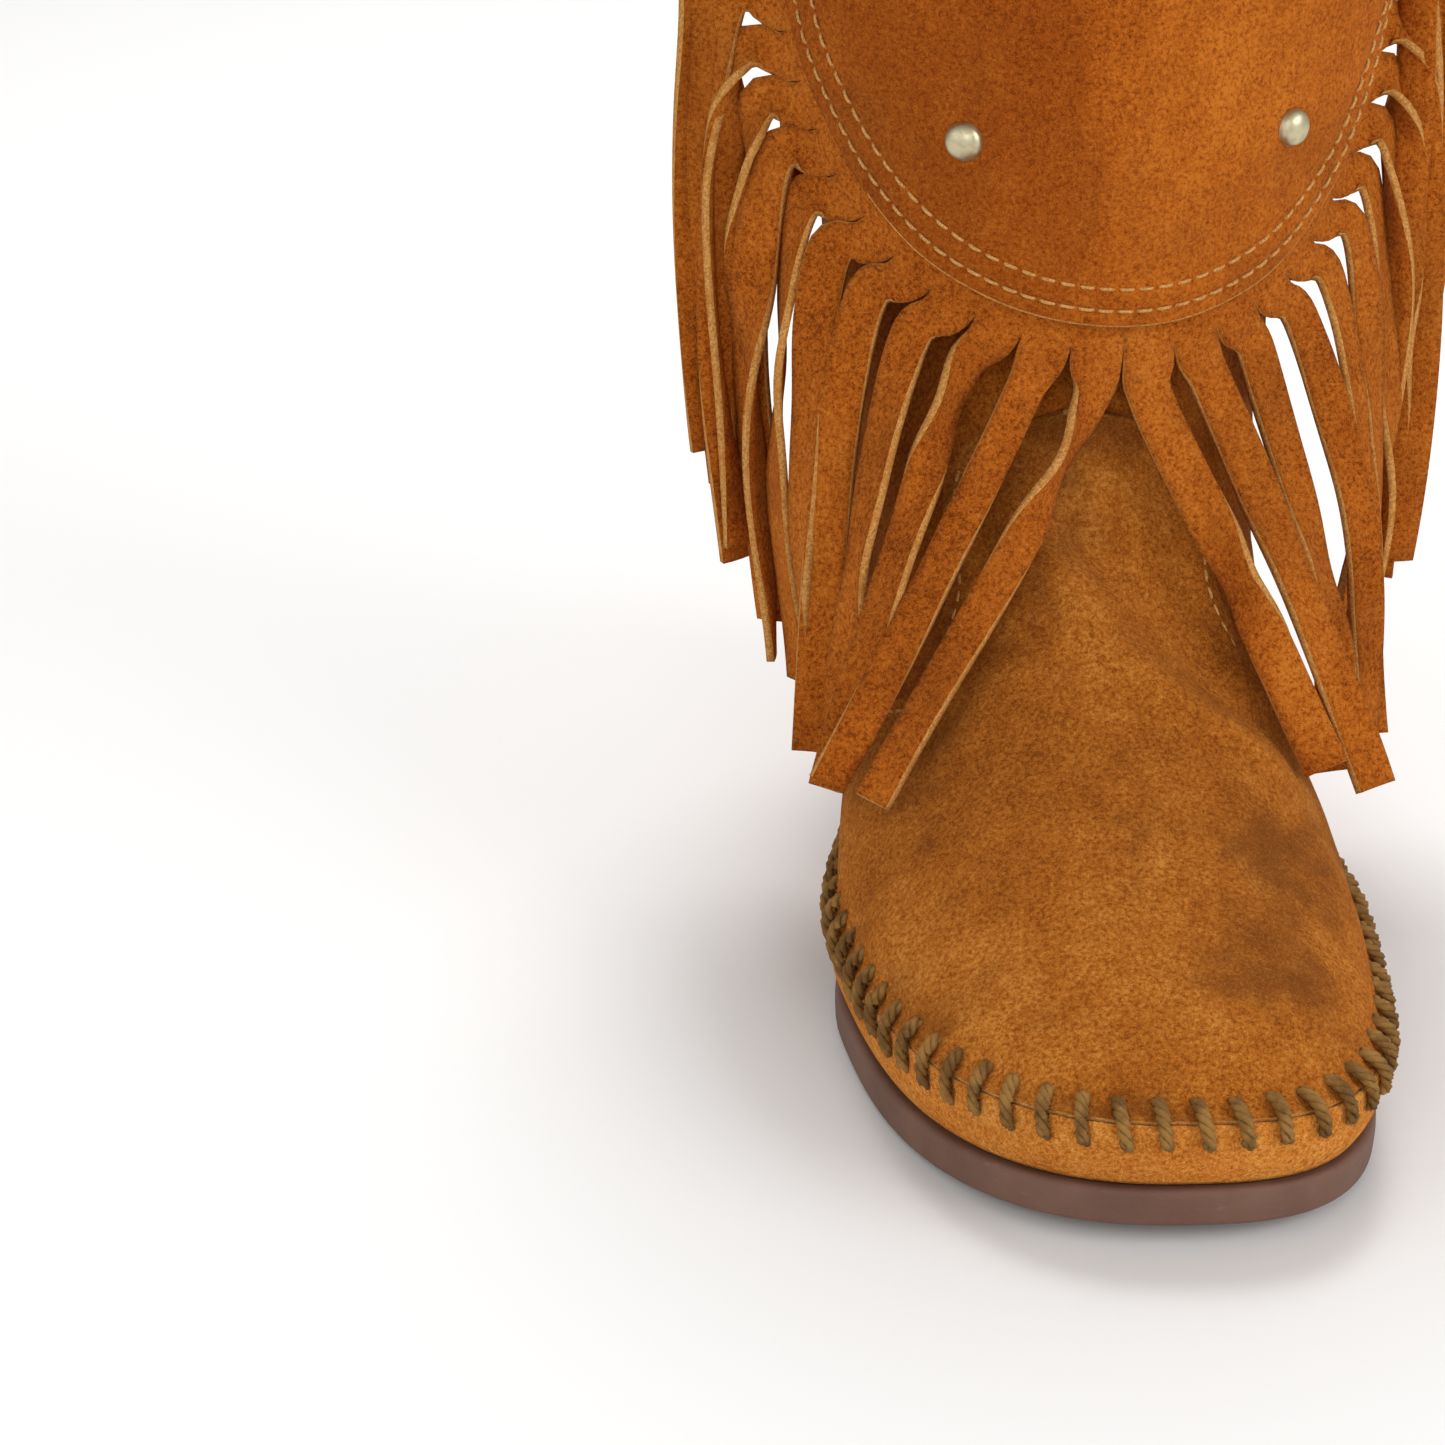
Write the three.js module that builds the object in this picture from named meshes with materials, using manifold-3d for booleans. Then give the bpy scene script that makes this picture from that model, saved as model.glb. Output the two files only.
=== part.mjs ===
import * as THREE from 'three';
import { mergeVertices } from 'three/addons/utils/BufferGeometryUtils.js';
import Module from 'manifold-3d';

// Fringed suede moccasin boot on a rubber sole, one of a pair.
// Millimetres, +Z up, toe towards -Y, inner side of the foot towards +X.
// The origin lies on the flat underside of the sole, midway between toe and heel.

const wasm = await Module();
wasm.setup();

// Overall sizes of the boot.
const footLength = 254;
const ballWidth = 104;
const shaftWidth = 114;
const bootHeight = 248;

// Walls and clearances.
const suede = 2;
const clearance = 0.3;
const facetRoom = 0.4;

// Sole unit.
const soleToeThickness = 8;
const soleHeelThickness = 10;
const soleLip = 1.8;
const toeSpring = 4;
const springLength = 60;
const boardThickness = 2;
const footbedThickness = 4;
const counterThickness = 1.2;
const coverThickness = 1;
const counterSpread = 0.95;
const coverSpread = 1.1;

// Whipstitched seam between the wrap and the plug.
const seamRing = 2;
const seamGap = 0.03;
const whipRadius = 1.3;

// Tongue end of the plug.
const tongueTop = 7.35;
const tongueRoundStart = 6.6;
const tongueEdge = 0.6;

// Front flap, laid out flat as half an ellipse.
const flapDepth = (107 / 248) * bootHeight;
const flapHalfWidth = (74 / 114) * shaftWidth;
const flapThickness = 2.2;
const flapTurn = 0.12;
const flapStandTop = 3.4;
const flapTuck = 0.6;
const flapStandFront = 8;
const flapStandSide = 12;
const flapTuckShare = 0.045;
const flapSideGrowth = 3;
const flapFrontGrowth = 1.2;

// Fringes.
const stripWidth = 10;
const slitWidth = 0.7;
const stripThickness = 1.8;
const frontStripLength = (122 / 248) * bootHeight;
const rearStripLength = (96 / 248) * bootHeight;
const fringeBorder = 5;
const fringeUnderlap = 9;
const rearBandDepth = 12;
const fringeReach = 1.52;
const sideTurn = 1.1;
const shoulderFront = 18;
const shoulderSide = 16;
const outerTips = { near: 50, far: 12, turn: 0.75 };
const innerTips = { near: 36, far: 12, turn: 0.75 };
const tipForward = 46;
const tipBack = 6;
const tipTurn = 0.9;
const frontHang = 0.66;
const sideHang = 0.93;
const lowestTip = 30;
const tipSway = 4;
const loweredForward = 1.3;
const loweredAside = 0.3;
const shoulderForward = 0.3;
const middleShare = 0.42;
const middleBulge = { aside: 4, forward: 9, down: 6 };
const rearLift = 5;
const rearSway = 2;

// Studs.
const studRadius = 3.75;
const studHeight = 2.4;
const postRadius = 1;
const washerRadius = 3.6;
const washerThickness = 0.8;
const studSpacing = 57;
const studRise = (37 / 248) * bootHeight;

// Top binding.
const bindingDepth = 9;
const bindingThickness = 1.2;
const backOpening = 18;

// Back zip.
const zipBottom = 94;
const chainHalfWidth = 2.5;
const chainGap = 1;
const chainThickness = 3;
const tapeWidth = 13;
const tapeThickness = 0.8;
const zipSlot = 11;
const sliderLength = 11;
const sliderWidth = 9;
const sliderWall = 1.4;
const stopHeight = 3;
const pullLength = 27;
const pullWidth = 7;
const pullThickness = 1.4;
const eyeRadius = 2.3;
const pinRadius = 0.85;
const pinClearance = 0.4;
const earThickness = 0.8;
const stayHalfWidth = 9;
const stayThickness = 1.2;

// Form of the boot as rings from the sole's edge (0) up to the top (11), at the reference
// sizes below. Each row holds the front point's y and z, the back point's y and z, the half
// widths at toe, ball, waist and heel, the squareness of the outline and the toe's sideways lean.
const referenceLength = 254;
const referenceBall = 104;
const referenceShaft = 114;
const referenceHeight = 248;
const formRings = [
  [-125, 8.3, 124.5, 10.3, 55, 51.5, 36, 37.5, 2.6, 7.5],
  [-127, 14.5, 126.5, 18, 57.5, 54, 38.5, 40, 2.6, 7.5],
  [-126, 21, 127, 28, 57, 53, 40, 41, 2.6, 7.5],
  [-107, 34.5, 126.5, 38, 51.5, 49, 42, 41, 2.4, 6.5],
  [-78, 48, 125, 50, 42, 43, 43, 41.5, 2.4, 3],
  [-47, 62, 123.5, 62, 38, 41, 43.5, 42, 2.3, 1.5],
  [-18, 80, 122.3, 76, 38, 41, 44.5, 43, 2.2, 0],
  [3, 101, 122, 93, 41, 43.5, 46, 45, 2.1, 0],
  [12.5, 126, 122, 120, 46, 47, 48, 48, 2, 0],
  [13, 162, 122, 160, 50, 50, 50, 50, 2, 0],
  [8.5, 205, 122, 205, 54, 54, 54, 54, 2, 0],
  [4, 248, 122, 248, 57, 57, 57, 57, 2, 0],
];
const firstShaftRing = 8;
const widthStations = [0, 0.3, 0.6, 0.9, 1];
const leanShare = 0.35;
const springFade = 3;
const topRing = formRings.length - 1;

const lengthScale = footLength / referenceLength;
const footWidthScale = ballWidth / referenceBall;
const shaftWidthScale = shaftWidth / referenceShaft;
const ankleZ = formRings[firstShaftRing][3];
const heightScale = (bootHeight - ankleZ) / (referenceHeight - ankleZ);

const suedeColour = 0xa85a1c;
const wrapColour = 0xb46e2a;
const materials = {
  suede: new THREE.MeshStandardMaterial({ color: suedeColour, roughness: 0.95, metalness: 0 }),
  wrap: new THREE.MeshStandardMaterial({ color: wrapColour, roughness: 0.95, metalness: 0 }),
  cord: new THREE.MeshStandardMaterial({ color: 0x6f4a18, roughness: 0.8, metalness: 0 }),
  sole: new THREE.MeshStandardMaterial({ color: 0x4a2e26, roughness: 0.7, metalness: 0 }),
  stud: new THREE.MeshStandardMaterial({ color: 0xb6a886, roughness: 0.3, metalness: 1 }),
  board: new THREE.MeshStandardMaterial({ color: 0xb89b74, roughness: 0.9, metalness: 0 }),
  footbed: new THREE.MeshStandardMaterial({ color: 0xb88a58, roughness: 0.9, metalness: 0 }),
  tape: new THREE.MeshStandardMaterial({ color: 0x5a3418, roughness: 0.9, metalness: 0 }),
  zip: new THREE.MeshStandardMaterial({ color: 0x8a7a58, roughness: 0.35, metalness: 1 }),
};

const boot = new THREE.Group();

function add(name, geometry, material) {
  const mesh = new THREE.Mesh(geometry, material);
  mesh.name = name;
  boot.add(mesh);
}

function smooth(t) {
  const k = Math.min(1, Math.max(0, t));
  return k * k * (3 - 2 * k);
}

function mix(a, b, t) {
  return a + (b - a) * t;
}

// ---- the boot's form

// Curve through the rings, so the form is smooth between them.
function ringAt(v) {
  const i = Math.min(topRing - 1, Math.floor(v));
  const t = v - i;
  const row = (k) => formRings[Math.min(topRing, Math.max(0, k))];
  const [a, b, c, d] = [row(i - 1), row(i), row(i + 1), row(i + 2)];
  const ring = b.map((value, k) => {
    const pull = c[k] - a[k] + t * (2 * a[k] - 5 * value + 4 * c[k] - d[k]
      + t * (3 * (value - c[k]) + d[k] - a[k]));
    return value + 0.5 * t * pull;
  });
  const shaftShare = smooth((v - 5) / 3);
  const widthScale = mix(footWidthScale, shaftWidthScale, shaftShare);
  for (const k of [0, 2]) ring[k] *= lengthScale;
  for (const k of [1, 3]) ring[k] = ring[k] > ankleZ ? ankleZ + (ring[k] - ankleZ) * heightScale : ring[k];
  for (const k of [4, 5, 6, 7]) ring[k] *= widthScale;
  return ring;
}

function halfWidth(ring, s) {
  const widths = [ring[4], ring[5], ring[6], ring[7], ring[7]];
  let k = 0;
  while (k < 3 && s > widthStations[k + 1]) k += 1;
  const share = (s - widthStations[k]) / (widthStations[k + 1] - widthStations[k]);
  return mix(widths[k], widths[k + 1], smooth(share));
}

// How far the toe is sprung up off the floor at a given y.
function springAt(y) {
  const t = Math.max(0, (-y - (footLength / 2 - springLength)) / springLength);
  return toeSpring * t * t;
}

// A point of the form: a runs from 0 at the front round to pi at the back, on the +X side
// for positive a. v is the ring. bulge is how far outside the form the point lies.
function basePoint(a, v) {
  const ring = ringAt(v);
  const [frontY, frontZ, backY, backZ] = ring;
  const power = 2 / ring[8];
  const along = Math.sign(Math.cos(a)) * Math.abs(Math.cos(a)) ** power;
  const s = (1 - along) / 2;
  const side = Math.sign(Math.sin(a)) * Math.abs(Math.sin(a)) ** power;
  const lean = ring[9] * Math.max(0, 1 - s / leanShare) ** 2;
  const y = mix(frontY, backY, s);
  const z = mix(frontZ, backZ, s) + springAt(y) * (1 - smooth((v - seamRing) / springFade));
  return new THREE.Vector3(halfWidth(ring, s) * side + lean, y, z);
}

function formPoint(a, v, bulge = 0) {
  const step = 0.02;
  const low = Math.max(0, v - step);
  const high = Math.min(topRing, v + step);
  const du = basePoint(a + step, v).sub(basePoint(a - step, v));
  const dv = basePoint(a, high).sub(basePoint(a, low));
  const normal = du.cross(dv).normalize();
  return basePoint(a, v).addScaledVector(normal, bulge);
}

// The angle at which a point near the back is the given distance from the middle line.
function backAngle(v, distance) {
  const ring = ringAt(v);
  return Math.asin((distance / ring[7]) ** (ring[8] / 2));
}

// The ring at which the back of the boot reaches a given height.
function ringAtBack(z) {
  let [low, high] = [0, topRing];
  for (let i = 0; i < 40; i += 1) {
    const middle = (low + high) / 2;
    if (ringAt(middle)[3] < z) low = middle;
    else high = middle;
  }
  return low;
}

// ---- mesh helpers

function closedGeometry(points, triangles) {
  let volume = 0;
  const [a, b, c] = [new THREE.Vector3(), new THREE.Vector3(), new THREE.Vector3()];
  for (const [i, j, k] of triangles) {
    volume += a.copy(points[i]).dot(b.copy(points[j]).cross(c.copy(points[k])));
  }
  const order = volume < 0 ? triangles.map(([i, j, k]) => [i, k, j]) : triangles;
  const geometry = new THREE.BufferGeometry();
  const numbers = points.flatMap((p) => p.toArray());
  geometry.setAttribute('position', new THREE.Float32BufferAttribute(numbers, 3));
  geometry.setIndex(order.flat());
  geometry.computeVertexNormals();
  return geometry;
}

// A thin closed slab between an outer and an inner grid of points.
function slab(columns, rows, pointAt) {
  const points = [];
  const triangles = [];
  const index = (side, i, j) => side * (columns + 1) * (rows + 1) + j * (columns + 1) + i;
  for (const side of [0, 1]) {
    for (let j = 0; j <= rows; j += 1) {
      for (let i = 0; i <= columns; i += 1) points.push(pointAt(i / columns, j / rows, side));
    }
  }
  const quad = (a, b, c, d) => triangles.push([a, b, c], [a, c, d]);
  for (let j = 0; j < rows; j += 1) {
    for (let i = 0; i < columns; i += 1) {
      quad(index(0, i, j), index(0, i + 1, j), index(0, i + 1, j + 1), index(0, i, j + 1));
      quad(index(1, i, j), index(1, i, j + 1), index(1, i + 1, j + 1), index(1, i + 1, j));
    }
  }
  for (let i = 0; i < columns; i += 1) {
    quad(index(0, i, 0), index(1, i, 0), index(1, i + 1, 0), index(0, i + 1, 0));
    quad(index(0, i, rows), index(0, i + 1, rows), index(1, i + 1, rows), index(1, i, rows));
  }
  for (let j = 0; j < rows; j += 1) {
    quad(index(0, 0, j), index(0, 0, j + 1), index(1, 0, j + 1), index(1, 0, j));
    quad(index(0, columns, j), index(1, columns, j), index(1, columns, j + 1), index(0, columns, j + 1));
  }
  return closedGeometry(points, triangles);
}

// A closed section swept through stations; sectionAt(t) gives the section's corner points.
// flat is the section's outline in its own plane, and is a plain round when left out.
function loft(stations, sectionAt, flat) {
  const sections = stations.map(sectionAt);
  const count = sections[0].length;
  const outline = flat || sections[0].map((_, i) => flatCorner(i, count));
  const points = sections.flat();
  const triangles = [];
  for (let j = 0; j < sections.length - 1; j += 1) {
    for (let i = 0; i < count; i += 1) {
      const next = (i + 1) % count;
      triangles.push([j * count + i, j * count + next, (j + 1) * count + next]);
      triangles.push([j * count + i, (j + 1) * count + next, (j + 1) * count + i]);
    }
  }
  const last = (sections.length - 1) * count;
  const turned = THREE.ShapeUtils.isClockWise(outline);
  for (const face of THREE.ShapeUtils.triangulateShape(outline, [])) {
    const [a, b, c] = turned ? [face[0], face[2], face[1]] : face;
    triangles.push([a, c, b]);
    triangles.push([last + a, last + b, last + c]);
  }
  return closedGeometry(points, triangles);
}

function flatCorner(i, count) {
  const angle = (2 * Math.PI * i) / count;
  return new THREE.Vector2(Math.cos(angle), Math.sin(angle));
}

// Rings stacked on each other, closed by a ladder of faces across the first and the last.
function stack(rings) {
  const count = rings[0].length;
  const points = rings.flat();
  const triangles = [];
  for (let j = 0; j < rings.length - 1; j += 1) {
    for (let i = 0; i < count; i += 1) {
      const next = (i + 1) % count;
      triangles.push([j * count + i, j * count + next, (j + 1) * count + next]);
      triangles.push([j * count + i, (j + 1) * count + next, (j + 1) * count + i]);
    }
  }
  const last = (rings.length - 1) * count;
  for (let i = 0; i < count / 2; i += 1) {
    const [a, b, c, d] = [i, i + 1, count - i - 1, (count - i) % count];
    if (b !== c) triangles.push([a, c, b]);
    if (a !== d) triangles.push([a, d, c]);
    if (b !== c) triangles.push([last + a, last + b, last + c]);
    if (a !== d) triangles.push([last + a, last + c, last + d]);
  }
  return closedGeometry(points, triangles);
}

function toSolid(geometry) {
  const bare = geometry.clone();
  bare.deleteAttribute('normal');
  bare.deleteAttribute('uv');
  const merged = mergeVertices(bare, 1e-4);
  const vertProperties = new Float32Array(merged.attributes.position.array);
  const triVerts = new Uint32Array(merged.index.array);
  return new wasm.Manifold(new wasm.Mesh({ numProp: 3, vertProperties, triVerts }));
}

function fromSolid(solid) {
  const mesh = solid.getMesh();
  const geometry = new THREE.BufferGeometry();
  geometry.setAttribute('position', new THREE.BufferAttribute(mesh.vertProperties, 3));
  geometry.setIndex(new THREE.BufferAttribute(mesh.triVerts, 1));
  geometry.computeVertexNormals();
  return geometry;
}

function box(x0, x1, y0, y1, z0, z1) {
  const geometry = new THREE.BoxGeometry(x1 - x0, y1 - y0, z1 - z0);
  return geometry.translate((x0 + x1) / 2, (y0 + y1) / 2, (z0 + z1) / 2);
}

// ---- sole unit

const soleSteps = 56;
const soleThickness = (y) => mix(soleToeThickness, soleHeelThickness, y / footLength + 0.5);

// A closed ring in plan: the sole's edge moved out by lip, at a height above the spring line.
function planRing(lip, heightAt) {
  const ring = [];
  for (let i = 0; i < soleSteps; i += 1) {
    const a = (2 * Math.PI * i) / soleSteps;
    const step = 0.02;
    const point = basePoint(a, 0);
    const along = basePoint(a + step, 0).sub(basePoint(a - step, 0));
    const out = new THREE.Vector2(-along.y, along.x).normalize();
    const x = point.x - out.x * lip;
    const y = point.y - out.y * lip;
    ring.push(new THREE.Vector3(x, y, springAt(y) + heightAt(y)));
  }
  return ring;
}

function soleLayer(lip, bottomAt, topAt, bevel) {
  return stack([
    planRing(lip - bevel, bottomAt),
    planRing(lip, (y) => bottomAt(y) + bevel),
    planRing(lip, topAt),
  ]);
}

function addSoleUnit() {
  const boardBottom = (y) => soleThickness(y) + clearance;
  const boardTop = (y) => boardBottom(y) + boardThickness;
  const bedBottom = (y) => boardTop(y) + clearance;
  const bedTop = (y) => bedBottom(y) + footbedThickness;
  const boardInset = suede + 2 * clearance + facetRoom;
  const bedInset = suede + counterThickness + coverThickness + 4 * clearance + facetRoom;
  const soleTop = (y) => soleThickness(y) - clearance;
  add('outsole', soleLayer(soleLip, () => 0, soleTop, 1.2), materials.sole);
  add('insole_board', soleLayer(-boardInset, boardBottom, boardTop, 0.5), materials.board);
  add('footbed', soleLayer(-bedInset, bedBottom, bedTop, 1), materials.footbed);
}

// ---- upper panels

const tongueEnd = tongueTop - 0.03;
const panelRings = [0, 0.7, 1.4, 2, 2.5, 3, 3.5, 4, 4.35, 4.7, 5, 5.5, 6, tongueRoundStart, tongueTop - 0.45,
  tongueTop - 0.2, tongueEnd, tongueTop + 0.01, 7.7, 8.3, 9, 10, 10.6, 11];

// The rings of a panel that runs from one ring to another, its ends included.
function ringsBetween(from, to) {
  return [from, ...panelRings.filter((v) => v > from + 0.02 && v < to - 0.02), to];
}

// Angle at which the wrap, the plug and the tongue end and the quarter begins, ring by ring.
const plugEdges = [1.756, 1.72, 1.68, 1.633, 1.49, 0.852, 0.614, tongueEdge, tongueEdge];

function quarterEdge(v) {
  if (v >= tongueTop) return 0;
  if (v > tongueRoundStart) {
    const t = (v - tongueRoundStart) / (tongueTop - tongueRoundStart);
    return tongueEdge * Math.sqrt(1 - t * t);
  }
  const i = Math.floor(v);
  return mix(plugEdges[i], plugEdges[i + 1], v - i);
}

function panel(rings, columns, angleAt, outside, inside) {
  return slab(columns, rings.length - 1, (i, j, side) => {
    const v = rings[Math.round(j * (rings.length - 1))];
    return formPoint(angleAt(i, v), v, side ? inside : outside);
  });
}

function addForefoot() {
  const wrapRings = ringsBetween(0, seamRing - seamGap);
  const wrapAngle = (i, v) => mix(-quarterEdge(v), quarterEdge(v), i);
  add('toe_wrap', panel(wrapRings, 36, wrapAngle, 0, -suede), materials.wrap);
  const plugRings = ringsBetween(seamRing + seamGap, tongueEnd);
  add('plug', panel(plugRings, 20, wrapAngle, 0, -suede), materials.suede);
  const section = (t) => {
    const end = quarterEdge(seamRing) - 0.02;
    const angle = mix(-end, end, t);
    return Array.from({ length: 6 }, (_, k) => {
      const turn = (2 * Math.PI * k) / 6;
      const rise = (whipRadius * Math.sin(turn)) / 12;
      return formPoint(angle, seamRing + rise, whipRadius * (1 + Math.cos(turn)) + 4 * clearance);
    });
  };
  const stations = Array.from({ length: 45 }, (_, i) => i / 44);
  add('whipstitch_cord', loft(stations, section), materials.cord);
}

function addQuarters() {
  const zipRing = ringAtBack(zipBottom - stopHeight - 1);
  const sideGap = 0.014;
  const seamHalfGap = clearance / 2;
  const backAt = (v) => Math.PI - backAngle(v, v < zipRing ? seamHalfGap : zipSlot / 2);
  const rings = [...panelRings.filter((v) => v < zipRing), zipRing - 0.01, zipRing + 0.01,
    ...panelRings.filter((v) => v > zipRing + 0.05)].sort((p, q) => p - q);
  const upper = rings.map((v) => (v === topRing ? topRing - 0.04 : v));
  for (const [name, sign] of [['inner_quarter', 1], ['outer_quarter', -1]]) {
    const angleAt = (i, v) => sign * mix(quarterEdge(v) + (v < tongueTop ? sideGap : 0.004), backAt(v), i);
    add(name, panel(upper, 13, angleAt, 0, -suede), materials.suede);
  }
}

function addHeelParts() {
  const around = (spread) => (i) => mix(Math.PI - spread, Math.PI + spread, i);
  const counterOut = -suede - clearance - facetRoom;
  const coverOut = counterOut - counterThickness - clearance;
  const counterRings = [0.85, 1.5, 2.2, 3, 3.7, 4.2];
  const coverRings = [0.85, 1.5, 2.2, 3, 3.7, 4.2, 4.8];
  const counterIn = counterOut - counterThickness;
  add('heel_counter', panel(counterRings, 16, around(counterSpread), counterOut, counterIn),
    materials.board);
  add('counter_cover', panel(coverRings, 16, around(coverSpread), coverOut, coverOut - coverThickness),
    materials.footbed);
  const stayTop = ringAtBack(zipBottom - stopHeight - 2);
  const stayRings = ringsBetween(0.1, stayTop);
  const stayAngle = (i, v) => {
    const spread = backAngle(v, stayHalfWidth);
    return mix(Math.PI - spread, Math.PI + spread, i);
  };
  add('back_stay', panel(stayRings, 8, stayAngle, clearance + stayThickness, clearance), materials.suede);
}

// ---- shaft section used by the flap, fringes, binding and zip

// The shaft's outline at a height: half width, half depth and middle y.
function shaftAt(z) {
  const ring = ringAt(ringAtBack(z));
  return { half: ring[6], depth: (ring[2] - ring[0]) / 2, middle: (ring[0] + ring[2]) / 2 };
}

// A point at angle phi from the front, out mm outside the shaft.
function shaftPoint(phi, z, out) {
  const { half, depth, middle } = shaftAt(z);
  const normal = new THREE.Vector2(Math.sin(phi) / half, -Math.cos(phi) / depth).normalize();
  const x = half * Math.sin(phi) + normal.x * out;
  const y = middle - depth * Math.cos(phi) + normal.y * out;
  return new THREE.Vector3(x, y, z);
}

function addBinding() {
  const t = bindingThickness;
  const inner = -suede - clearance - facetRoom;
  const profile = [[clearance + t, -bindingDepth], [clearance + t, t + clearance], [inner - t, t + clearance],
    [inner - t, -bindingDepth], [inner, -bindingDepth], [inner, clearance], [clearance, clearance],
    [clearance, -bindingDepth]];
  const end = Math.PI - Math.asin(backOpening / 2 / shaftAt(bootHeight).half);
  const stations = Array.from({ length: 37 }, (_, i) => i / 36);
  const section = (along) => profile.map(([out, rise]) => {
    const level = bootHeight + Math.min(rise, -clearance);
    const foot = shaftPoint(mix(-end, end, along), level, out);
    return new THREE.Vector3(foot.x, foot.y, bootHeight + rise);
  });
  const flat = profile.map(([out, rise]) => new THREE.Vector2(out, rise));
  add('top_binding', loft(stations, section, flat), materials.suede);
}

// ---- front flap and its fringe

const flapTop = bootHeight - bindingDepth - 2 * clearance;
const flapTip = flapTop - flapDepth;

// A point of the flap's outer face from its flat pattern: across and up from the tip.
function flapPoint(across, up, out) {
  const z = flapTip + up;
  const fall = Math.max(0, (flapTop - z) / flapDepth);
  const { half, depth, middle } = shaftAt(z);
  const stand = mix(flapTuck, flapStandTop, smooth(fall / flapTuckShare)) + out;
  const width = half + stand + flapStandSide * smooth(fall * flapSideGrowth);
  const reach = depth + stand + flapStandFront * smooth(fall * flapFrontGrowth);
  const phi = across / (half + flapStandSide / 2) + flapTurn * smooth(fall * flapSideGrowth);
  return new THREE.Vector3(width * Math.sin(phi), middle - reach * Math.cos(phi), z);
}

// The flat pattern's edge at turn k, from 0 at the tip to a quarter turn at the top corner.
function flapEdge(k, beyond) {
  const along = new THREE.Vector2(flapHalfWidth * Math.cos(k), flapDepth * Math.sin(Math.abs(k)));
  const out = new THREE.Vector2(Math.sign(k) * along.y, -along.x).normalize();
  const across = flapHalfWidth * Math.sin(k) + out.x * beyond;
  return [across, flapDepth * (1 - Math.cos(k)) + out.y * beyond];
}

function addFlap() {
  const rows = 13;
  const first = 0.1;
  const geometry = slab(16, rows, (i, j, side) => {
    const k = mix(first, Math.PI / 2, j);
    const across = flapHalfWidth * Math.sin(k) * (2 * i - 1);
    return flapPoint(across, flapDepth * (1 - Math.cos(k)), side ? flapThickness : 0);
  });
  let solid = toSolid(geometry);
  for (const side of [1, -1]) {
    const hole = studCylinder(side, postRadius + clearance, -3, flapThickness + 3);
    solid = solid.subtract(toSolid(hole));
  }
  add('front_flap', fromSolid(solid), materials.suede);
}

// Places a shape made about the Z axis on the flap, at a stud's place, Z pointing outwards.
function onStud(side, geometry) {
  const across = (side * studSpacing) / 2;
  const foot = flapPoint(across, studRise, 0);
  const right = flapPoint(across + 1, studRise, 0).sub(flapPoint(across - 1, studRise, 0));
  const upward = flapPoint(across, studRise + 1, 0).sub(flapPoint(across, studRise - 1, 0));
  const out = right.clone().cross(upward).normalize();
  const frame = new THREE.Matrix4().makeBasis(right.normalize(), out.clone().cross(right), out);
  return geometry.applyMatrix4(frame).translate(foot.x, foot.y, foot.z);
}

function studCylinder(side, radius, from, to) {
  const geometry = new THREE.CylinderGeometry(radius, radius, to - from, 12);
  return onStud(side, geometry.rotateX(Math.PI / 2).translate(0, 0, (from + to) / 2));
}

function addStuds() {
  const face = flapThickness + clearance;
  const dome = Array.from({ length: 7 }, (_, i) => {
    const turn = (Math.PI / 2) * (i / 6);
    return new THREE.Vector2(studRadius * Math.cos(turn), face + studHeight * Math.sin(turn));
  });
  dome[6].x = 0;
  const postEnd = -clearance - washerThickness - 0.7;
  const capProfile = [new THREE.Vector2(0, postEnd), new THREE.Vector2(postRadius, postEnd),
    new THREE.Vector2(postRadius, face), ...dome];
  const hole = postRadius + clearance;
  const back = -clearance - washerThickness - 0.7;
  const washerProfile = [[hole, back], [washerRadius, back], [washerRadius, back + washerThickness],
    [hole, back + washerThickness], [hole, back]].map(([x, y]) => new THREE.Vector2(x, y));
  for (const [side, word] of [[1, 'inner'], [-1, 'outer']]) {
    const cap = new THREE.LatheGeometry(capProfile, 20).rotateX(Math.PI / 2);
    add(`${word}_stud_cap`, onStud(side, cap), materials.stud);
    const washer = new THREE.LatheGeometry(washerProfile, 16).rotateX(Math.PI / 2);
    add(`${word}_stud_washer`, onStud(side, washer), materials.stud);
  }
}

// One strip: a flat ribbon along a curve, its width turning from one direction to another.
function strip(curve, startWidth, endWidth) {
  const steps = 4;
  const stations = Array.from({ length: steps + 1 }, (_, i) => i / steps);
  return loft(stations, (t) => {
    const centre = curve.getPoint(t);
    const along = curve.getTangent(t);
    const across = startWidth.clone().lerp(endWidth, smooth(t * 2));
    across.addScaledVector(along, -across.dot(along)).normalize();
    const thick = along.clone().cross(across);
    const [w, h] = [(stripWidth - slitWidth) / 2, stripThickness / 2];
    return [[w, h], [-w, h], [-w, -h], [w, -h]].map(([p, q]) => (
      centre.clone().addScaledVector(across, p).addScaledVector(thick, q)));
  });
}

// A small fixed variation, so that neighbouring strips don't hang alike.
function sway(i) {
  return Math.sin(i * 2.399) * 0.6 + Math.sin(i * 5.13) * 0.4;
}

const bandFace = -4 * clearance;
const bandDepth = bandFace - stripThickness / 2;

// How much lower the flap ends than on a boot of the reference height, which brings it nearer the instep.
const flapLowered = Math.max(0, (referenceHeight - bootHeight) * (1 - flapDepth / bootHeight));

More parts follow.
